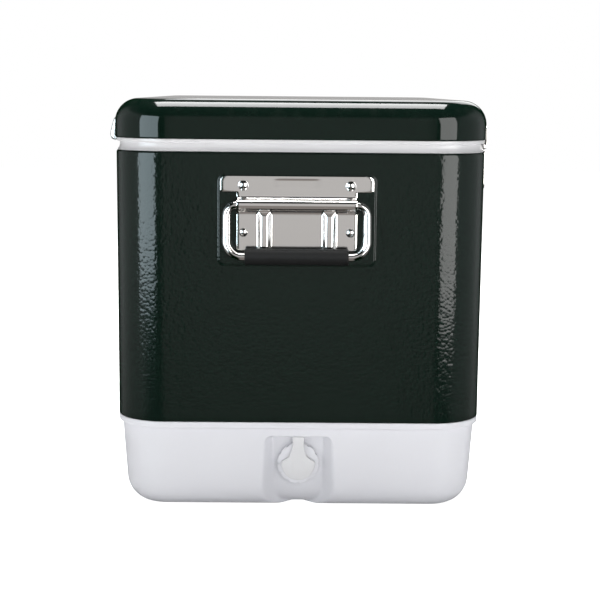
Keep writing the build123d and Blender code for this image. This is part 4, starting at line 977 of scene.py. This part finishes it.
# %% Paths with rounded corners
def rounded_path(corners, radii, count=10):
    """A closed polygon with each corner replaced by a tangent arc of its radius."""
    corners = np.asarray(corners, float)
    before = corners - np.roll(corners, 1, axis=0)
    before /= np.linalg.norm(before, axis=1, keepdims=True)
    after = np.roll(before, -1, axis=0)
    turning = np.arctan2(before[:, 0] * after[:, 1] - before[:, 1] * after[:, 0], (before * after).sum(1))
    radii = np.broadcast_to(np.asarray(radii, float), turning.shape)
    reach = radii * np.tan(np.abs(turning) / 2)
    share = np.linspace(0, 1, count)[:, None, None]
    left = np.stack([-before[:, 1], before[:, 0]], axis=1) * np.sign(turning)[:, None]
    centre = corners - before * reach[:, None] + left * radii[:, None]
    angle = share[..., 0] * np.abs(turning)
    points = centre - left * (radii * np.cos(angle))[..., None] + before * (radii * np.sin(angle))[..., None]
    return points.transpose(1, 0, 2).reshape(-1, 2)


def swept_wire(path, radius, normal, sides=20):
    """A circle carried round a closed flat path; its two axes are the plane's normal and the side."""
    along = np.roll(path, -1, axis=0) - np.roll(path, 1, axis=0)
    along /= np.linalg.norm(along, axis=1, keepdims=True)
    side = np.cross(along, normal)
    turn = np.linspace(0, 2 * np.pi, sides, endpoint=False)[None, :, None]
    ring = path[:, None] + radius * (np.cos(turn) * side[:, None] + np.sin(turn) * np.asarray(normal))
    return grid(ring, wrap_rows=True)


def turned(profile, centre, axis, across, sides=40, wrap_rows=False, poles=(False, False)):
    """A (radius, along) profile turned about an axis; a pole closes the end that reaches the axis."""
    axis, across = np.asarray(axis, float), np.asarray(across, float)
    other = np.cross(axis, across)
    turn = np.linspace(0, 2 * np.pi, sides, endpoint=False)[None, :, None]
    radius, along = profile[:, :1, None], profile[:, 1:, None]
    points = np.asarray(centre) + axis * along + radius * (np.cos(turn) * across + np.sin(turn) * other)
    parts = [grid(points, wrap_rows=wrap_rows)]
    if poles[0]:
        parts.append(fan(points[0], np.asarray(centre) + axis * profile[0, 1], flip=True))
    if poles[1]:
        parts.append(fan(points[-1], np.asarray(centre) + axis * profile[-1, 1]))
    return parts


# %% Bails and grips
WIRE = 4.1
BAIL_X = END_X + PAD_PROUD + WIRE + 0.3
BAIL_HALF, BAIL_DROP, BAIL_LEAN = 74.6, 54.7, math.radians(8.9)
GRIP_RADIUS, GRIP_HALF = 8.9, 54.7


def bail_path(facing):
    """The bent wire's centre line: a rounded rectangle hung from the roll and leaning outwards."""
    flat = rounded_path([(BAIL_HALF, 0), (BAIL_HALF, -BAIL_DROP), (-BAIL_HALF, -BAIL_DROP), (-BAIL_HALF, 0)],
                        [12.0, 16.0, 16.0, 12.0], 14)
    x = facing * (BAIL_X - flat[:, 1] * math.sin(BAIL_LEAN))
    return np.stack([x, HANDLE_Y + flat[:, 0], ROLL_Z + flat[:, 1] * math.cos(BAIL_LEAN)], axis=-1)


def grip_profile():
    """(radius, along): a barely waisted tube with rounded ends, closed down onto the wire."""
    along = np.linspace(-GRIP_HALF + 1.6, GRIP_HALF - 1.6, 24)
    body = np.stack([GRIP_RADIUS - 0.25 * np.cos(along / GRIP_HALF * np.pi / 2) ** 2, along], axis=-1)
    first = arc((GRIP_RADIUS - 1.6, -GRIP_HALF + 1.6), 1.6, -90.0, -10.0, 6)
    last = arc((GRIP_RADIUS - 1.6, GRIP_HALF - 1.6), 1.6, 10.0, 90.0, 6)
    return np.vstack([[[WIRE + 0.05, -GRIP_HALF]], first, body, last, [[WIRE + 0.05, GRIP_HALF]]])


for end_name, facing in ENDS:
    body = end_name + "_handle"
    normal = (facing * math.cos(BAIL_LEAN), 0.0, math.sin(BAIL_LEAN))
    wire = swept_wire(bail_path(facing), WIRE, normal)
    make_piece(end_name + "_bail_skin", [wire], "bright_steel", body, sharp=60)
    hub_x = facing * (BAIL_X + BAIL_DROP * math.sin(BAIL_LEAN))
    hub = (hub_x, HANDLE_Y, ROLL_Z - BAIL_DROP * math.cos(BAIL_LEAN))
    tube = turned(grip_profile(), hub, (0, 1, 0), (0, 0, 1), 48, wrap_rows=True)
    make_piece(end_name + "_grip_skin", tube, "grip_rubber", body, sharp=50)

# %% [markdown]
# ## Rivets
#
# A rivet head is a shallow dome with a fine shoulder where it meets the sheet.  Every set is one
# piece of several domes, each with its shank and its upset tail behind the sheet.

# %% Rivet sets
def rivet_profile(head, height, shank, length, tail):
    """(radius, along) of half a rivet, from the tail's middle to the dome's crown."""
    dome = (head ** 2 + height ** 2) / (2 * height)
    crown = np.linspace(math.asin(head / dome) * 0.97, 0.02, 10)
    top = np.stack([dome * np.sin(crown), height - dome + dome * np.cos(crown)], axis=-1)
    stem = [[tail, -length - 1.4], [tail, -length - 0.05], [shank, -length - 0.05], [shank, 0.0], [head, 0.0]]
    return np.vstack([stem, [[head, 0.12]], top])


def rivet_set(name, places, axis, body, length, head=4.0, height=1.7, shank=1.95, tail=3.3):
    """One piece of equal rivets, or of rivets whose head and height are given place by place."""
    heads = np.broadcast_to(head, len(places))
    heights = np.broadcast_to(height, len(places))
    parts = []
    for place, size, rise in zip(places, heads, heights):
        profile = rivet_profile(size, rise, shank, length, tail)
        parts += turned(profile, place, axis, (0, 0, 1), 28, poles=(True, True))
    make_piece(name + "_skin", parts, "bright_steel", body, sharp=40)


RIVET_SIDE, RIVET_HEIGHTS = 56.7, (357.1, 307.5)
for end_name, facing in ENDS:
    spots = [(facing * PLATE_X, HANDLE_Y + side * RIVET_SIDE, z) for z in RIVET_HEIGHTS for side in (-1, 1)]
    rivet_set(end_name + "_rivets", spots, (facing, 0, 0), "root", length=4.0,
              head=(5.4, 5.4, 4.7, 4.7), height=(2.4, 2.4, 2.2, 2.2), shank=2.3, tail=4.1)

# %% [markdown]
# ## Flat stampings
#
# Hinge leaves, latch plate and the drain's cap are all an outline with thickness and softly
# broken edges.  One function makes them: the outline's rings step in over each edge like the turns
# of a bead, and the two flat faces close it.

# %% Outlines with thickness
def stamped(outline, thickness, edge, place):
    """Parts of a plate: an anticlockwise (a, b) outline from 0 to thickness, mapped to space by place.

    The rings are the outline moved in along its own normal while a quarter circle rises.  Points
    that fall on the one before them are dropped, because a normal needs a length.
    """
    step = np.linalg.norm(outline - np.roll(outline, 1, axis=0), axis=1)
    outline = outline[step > 1e-6]
    along = np.roll(outline, -1, axis=0) - np.roll(outline, 1, axis=0)
    along /= np.linalg.norm(along, axis=1, keepdims=True)
    inward = np.stack([-along[:, 1], along[:, 0]], axis=1)
    lower = arc((edge, edge), edge, -90.0, -180.0, 4)
    upper = arc((edge, thickness - edge), edge, 180.0, 90.0, 4)
    rows = np.vstack([lower, upper])
    flat = outline[None] + inward[None] * rows[:, :1, None]
    height = np.broadcast_to(rows[:, 1:, None], flat.shape[:2] + (1,))
    points = place(flat[..., 0], flat[..., 1], height[..., 0])
    count = len(outline)
    walls, faces = grid(points)
    last = len(rows) * count
    return [(walls, faces + [list(range(count))[::-1], list(range(last - count, last))])]


# %% Drain plug
CAP_RADIUS, CAP_BACK, CAP_THICK = 18.3, 275.0, 4.0
CAP_EDGE, CAP_DISH, DISH_RADIUS = 1.1, 0.45, 12.0
STRAP_X, STRAP_HALF, STRAP_TOP, STRAP_THICK = 277.0, 6.5, 82.1, 2.4


def plug_outline():
    """Cap and strap in one line: the round of the cap, its two sloping shoulders, the narrow strap."""
    round_part = arc((0.0, DRAIN_Z), CAP_RADIUS, 172.0, 368.0, 40)
    shoulder = DRAIN_Z + 7.4
    right = [(9.6, shoulder), (6.6, shoulder + 9.0), (6.1, shoulder + 16.0), (STRAP_HALF, STRAP_TOP - 1.0),
             (STRAP_HALF - 1.0, STRAP_TOP)]
    left = [(-y, z) for y, z in right[::-1]]
    return np.vstack([round_part, right, left])


def plug_place(across, up, height):
    """Cap as it is, strap thinner: the height shrinks smoothly about the strap's middle plane."""
    thin = smooth((up - 56.0) / 9.0)
    x_cap = CAP_BACK + height
    x_strap = STRAP_X + (height / CAP_THICK - 0.5) * STRAP_THICK
    from_middle = np.hypot(across, up - DRAIN_Z)
    dish = CAP_DISH * (1.0 - smooth((from_middle - DISH_RADIUS) / 2.2)) * (height > CAP_THICK / 2)
    return np.stack([x_cap * (1 - thin) + x_strap * thin - dish, across, up], axis=-1)


stem = np.vstack([[[0.5, -12.0]], arc((6.0, -11.0), 1.0, -90.0, 0.0, 4), [[10.0, 0.3]]])
plug_parts = stamped(plug_outline(), CAP_THICK, CAP_EDGE, plug_place)
plug_parts += turned(stem, (CAP_BACK, 0, DRAIN_Z), (1, 0, 0), (0, 0, 1), 32, poles=(True, True))
make_piece("drain_plug_skin", plug_parts, "plug_plastic", "plug", sharp=50)

# %% Hinge leaves, pins and rivets
HINGE_X, HINGE_Y, HINGE_Z = 205.0, 199.3, 397.5
KNUCKLE, PIN = 3.0, 1.6
LEAF, LEAF_HALF = 1.4, 30.0
SOFT_EDGE = 0.3                # how far the edges of the small stampings are broken
BODY_LEAF_FOOT, BODY_LEAF_TOP = 352.0, 392.6
TONGUE_HALF, TONGUE_TOP = 10.8, 396.0
BARREL_HALF = 10.9             # half width of the body leaf's own barrel
LID_LEAF_FOOT, LID_LEAF_TOP = 403.1, 420.0
ARM_NEAR, ARM_FAR = 11.4, 29.9
ARM_FOOT, ARM_BEND, ARM_TOP = 397.6, 401.5, 403.3
BODY_LEAF_RIVETS = ((-20, 378), (20, 378), (0, 362))
LID_LEAF_RIVETS = ((-20, 413), (20, 413))
HINGE_PIN_HALF = 30.1
lid_side = lid_high[1]


def back_place(centre, y):
    """Puts an (across, up) outline on a back wall at y, thickness outwards."""
    return lambda across, up, height: np.stack([centre - across, y + height, up], axis=-1)


def knuckle(centre, low, high):
    """A rolled barrel about the hinge's axis between two places on X."""
    rows = np.vstack([[[PIN, low]], arc((KNUCKLE - 0.5, low + 0.5), 0.5, -90.0, 0.0, 3),
                      arc((KNUCKLE - 0.5, high - 0.5), 0.5, 0.0, 90.0, 3), [[PIN, high]]])
    return turned(rows, (centre, HINGE_Y, HINGE_Z), (1, 0, 0), (0, 0, 1), 28, wrap_rows=True)


def body_leaf(centre):
    """Plate with rounded feet, a tongue in the middle and the barrel on it."""
    right = [(LEAF_HALF, BODY_LEAF_FOOT), (LEAF_HALF, BODY_LEAF_TOP), (TONGUE_HALF, BODY_LEAF_TOP),
             (TONGUE_HALF, TONGUE_TOP)]
    left = [(-across, up) for across, up in right[::-1]]
    outline = rounded_path(left[-1:] + right + left[:-1], [5, 5, 1.5, 1.2, 0.4, 0.4, 1.2, 1.5], 6)
    plate = stamped(outline, LEAF, SOFT_EDGE, back_place(centre, SIDE_Y))
    return plate + knuckle(centre, -BARREL_HALF, BARREL_HALF)


def arm_place(centre):
    """The lid leaf's own place: flat on the lid, and leaning in towards the barrels below it."""
    def place(across, up, height):
        lean = smooth((ARM_BEND - up) / 4.0) * (lid_side + LEAF - HINGE_Y - KNUCKLE)
        return np.stack([centre - across, lid_side + height - lean, up], axis=-1)
    return place


def lid_leaf(centre):
    """Plate with two arms whose ends roll into the outer barrels."""
    plate = rounded_path([(-LEAF_HALF, LID_LEAF_FOOT), (LEAF_HALF, LID_LEAF_FOOT),
                          (LEAF_HALF, LID_LEAF_TOP), (-LEAF_HALF, LID_LEAF_TOP)], [0.4, 0.4, 4, 4], 6)
    arms = ((-ARM_FAR, -ARM_NEAR), (ARM_NEAR, ARM_FAR))
    parts = stamped(plate, LEAF, SOFT_EDGE, arm_place(centre))
    heights = np.linspace(ARM_FOOT, ARM_TOP, 9)
    for left, right in arms:
        rising = np.stack([np.full(9, right), heights], axis=1)
        falling = np.stack([np.full(9, left), heights[::-1]], axis=1)
        parts += stamped(np.vstack([rising, falling]), LEAF, SOFT_EDGE, arm_place(centre))
    return parts + knuckle(centre, *arms[0]) + knuckle(centre, *arms[1])


def headed_pin(place, half):
    """A pin along X with a small domed head at each end."""
    dome, tip, stem = 0.9, 0.3, PIN - 0.03
    end = arc((1.9, half), dome, 0.0, 80.0, 4)
    rows = np.vstack([[[tip, -half - dome]], end[::-1] * (1, -1), [[stem, -half], [stem, half]], end,
                      [[tip, half + dome]]])
    return turned(rows, place, (1, 0, 0), (0, 0, 1), 20, poles=(True, True))


body_spots, lid_spots = [], []
for end_name, facing in ENDS:
    centre = facing * HINGE_X
    make_piece(end_name + "_hinge_body_leaf_skin", body_leaf(centre), "bracket_steel", "root", sharp=40)
    make_piece(end_name + "_hinge_lid_leaf_skin", lid_leaf(centre), "bracket_steel", "lid", sharp=40)
    pin = headed_pin((centre, HINGE_Y, HINGE_Z), HINGE_PIN_HALF)
    make_piece(end_name + "_hinge_pin_skin", pin, "bright_steel", "root", sharp=40)
    body_spots += [(centre + x, SIDE_Y + LEAF, z) for x, z in BODY_LEAF_RIVETS]
    lid_spots += [(centre + x, lid_side + LEAF, z) for x, z in LID_LEAF_RIVETS]
rivet_set("hinge_body_rivets", body_spots, (0, 1, 0), "root", length=2.4)
rivet_set("hinge_lid_rivets", lid_spots, (0, 1, 0), "lid", length=2.6)

# %% [markdown]
# ## Front latch
#
# The latch is a pressed lever on a pin, with a hook behind it that catches a lip on the belt.  The
# lever is a curved face with its sides turned back, so it is one cross section, a shallow U whose
# legs shorten towards the finger end, carried down the lever's curve.

# %% Lever
LATCH_Y, LATCH_Z = -214.0, 414.0
LEVER_HALF = 26.0
LEVER_SHEET = 1.3


def curve_through(points, count):
    """Smooth curve through a few points: each coordinate is a Catmull-Rom spline of the running length."""
    points = np.asarray(points, float)
    padded = np.vstack([2 * points[0] - points[1], points, 2 * points[-1] - points[-2]])
    place = np.linspace(0, len(points) - 1 - 1e-9, count)
    index = place.astype(int)
    t = (place - index)[:, None]
    a, b, c, d = (padded[index + k] for k in range(4))
    square = (2 * a - 5 * b + 4 * c - d) * t ** 2
    cube = (3 * b - a - 3 * c + d) * t ** 3
    return 0.5 * (2 * b + (c - a) * t + square + cube)


def lever_points():
    """Rows down the face; columns up one leg, round a corner, across the crowned face and back."""
    face = curve_through([(-217.0, 422.8), (-221.5, 424.5), (-229.3, 421.3), (-232.2, 414.5), (-234.2, 406.5),
                          (-235.1, 400.5), (-233.4, 395.4), (-229.2, 393.6)], 40)
    back = curve_through([(-212.5, 420.0), (-211.0, 418.5), (-209.6, 414.5), (-211.5, 409.5), (-217.5, 404.0),
                          (-223.0, 399.5), (-227.3, 396.2), (-228.0, 395.2)], 40)
    corner = 3.0
    leg = np.linspace(1.0, 0.0, 7)[:-1]
    turn = np.radians(np.linspace(0, 90, 7))
    bend_in = 1.0 - np.sin(turn)
    bend_out = 1.0 - np.cos(turn)
    across_face = np.linspace(-1, 1, 17)[1:-1] * (LEVER_HALF - corner)   # between the two corners
    depth = np.linalg.norm(back - face, axis=1)[:, None]
    bend = np.minimum(corner, depth * 0.8)
    direction = ((back - face) / np.maximum(depth, 1e-6))[:, None, :]
    inside = np.concatenate([bend + (depth - bend) * leg, bend * bend_in, 0 * bend + 0 * across_face,
                             bend * bend_in[::-1], bend + (depth - bend) * leg[::-1]], axis=1)
    x = np.concatenate([0 * bend - LEVER_HALF + 0 * leg, -LEVER_HALF + corner * bend_out + 0 * bend,
                        0 * bend + across_face, LEVER_HALF - corner * bend_out[::-1] + 0 * bend,
                        0 * bend + LEVER_HALF + 0 * leg], axis=1)
    dimple = rounded_distance(x, np.linspace(-1, 1, 40)[:, None] * 17.0 - 1.0, 16.0, 8.0, 4.0)
    inside = inside + 0.6 * soft_ramp(dimple / 2.0, 0.3)
    place = face[:, None, :] + direction * inside[..., None]
    return np.concatenate([x[..., None], place], axis=-1)


lever = grid(lever_points(), wrap_columns=False, flip=True)
make_piece("latch_lever_skin", [lever], "latch_steel", "latch",
           thickness=LEVER_SHEET, bevel=SHEET_BEVEL, sharp=45)


# %% Latch plate, pin and strike
PLATE_SHEET = 1.5
PLATE_WIDE, PLATE_LOW, PLATE_TOP = 30, 406.5, 420.9
EAR_REAR = -214.2
LATCH_PIN_HALF = 28.6
STRIKE_HALF, STRIKE_CORNER = 20.0, 5.0
STRIKE_FOOT, STRIKE_LIP = 364.0, (-208.0, 387.0)


def front_place(y):
    """Puts an (across, up) outline on a front wall at y, thickness outwards."""
    return lambda across, up, height: np.stack([across, y - height, up], axis=-1)


def side_place(x):
    """Puts a (y, z) outline on its side, thickness along X."""
    return lambda across, up, height: np.stack([x + height, across, up], axis=-1)


front = -lid_side
ear_root = front - 1.0
plate_outline = rounded_path([(-PLATE_WIDE, PLATE_LOW), (PLATE_WIDE, PLATE_LOW),
                              (PLATE_WIDE, PLATE_TOP), (-PLATE_WIDE, PLATE_TOP)], 2.5, 6)
plate_parts = stamped(plate_outline, PLATE_SHEET, SOFT_EDGE, front_place(front))
ear = rounded_path([(EAR_REAR, 409.9), (ear_root, 408.5), (ear_root, 419.0), (EAR_REAR, 418.1),
                    (EAR_REAR - 4.0, LATCH_Z)], [3.4, 0.3, 0.3, 3.4, 3.0], 6)
for x in (-28.5, 27.0):
    plate_parts += stamped(ear, PLATE_SHEET, SOFT_EDGE, side_place(x))
make_piece("latch_plate_skin", plate_parts, "bracket_steel", "lid", sharp=40)
latch_pin = headed_pin((0, LATCH_Y, LATCH_Z), LATCH_PIN_HALF)
make_piece("latch_pin_skin", latch_pin, "bright_steel", "lid", sharp=40)
plate_spots = [(x, front - PLATE_SHEET, 413.7) for x in (-14, 14)]
rivet_set("latch_plate_rivets", plate_spots, (0, -1, 0), "lid", length=2.7, head=3.6, height=1.5)


def strike_points():
    """The strike's side line, up the belt and out over its lip, carried across its width."""
    line = np.vstack([[[-SIDE_Y - PLATE_SHEET, STRIKE_FOOT], [-SIDE_Y - PLATE_SHEET, 380.0]],
                      arc((-SIDE_Y - 3.0, STRIKE_LIP[1] - 1.5), 1.5, 0.0, 90.0, 6), [STRIKE_LIP]])
    share = np.linspace(-1, 1, 25)
    foot = np.maximum(0.0, (np.abs(share) - 1.0) * STRIKE_HALF + STRIKE_CORNER)
    lift = STRIKE_CORNER - np.sqrt(np.maximum(STRIKE_CORNER ** 2 - foot ** 2, 0.0))
    x = STRIKE_HALF * share + 0 * line[:, :1]
    z = line[:, 1:] + 0 * x
    z[0] += lift
    return np.stack([x, line[:, :1] + 0 * x, z], axis=-1)


strike = grid(strike_points(), wrap_columns=False)
make_piece("latch_strike_skin", [strike], "bracket_steel", "root", thickness=1.45, bevel=0.2, sharp=40)
strike_spots = [(x, -SIDE_Y - PLATE_SHEET, 374) for x in (-12, 12)]
rivet_set("strike_rivets", strike_spots, (0, -1, 0), "root", length=2.5)

# %% [markdown]
# ## Pieces that keep their own shape
#
# Foam, backing plates, the drain's spout, nut and washer, the strap's root, the hook and the spring
# are right as the engineering model has them.  They only need their finish, which goes into the
# material slots of their own objects.


# %% Finishes of the kept pieces
for node_name, slot_name in ((s["node"], s["material_slot"]) for s in frame["record"]["subparts"]):
    mesh = nodes[node_name].data
    mesh.materials.clear()
    mesh.materials.append(FINISH[slot_name])
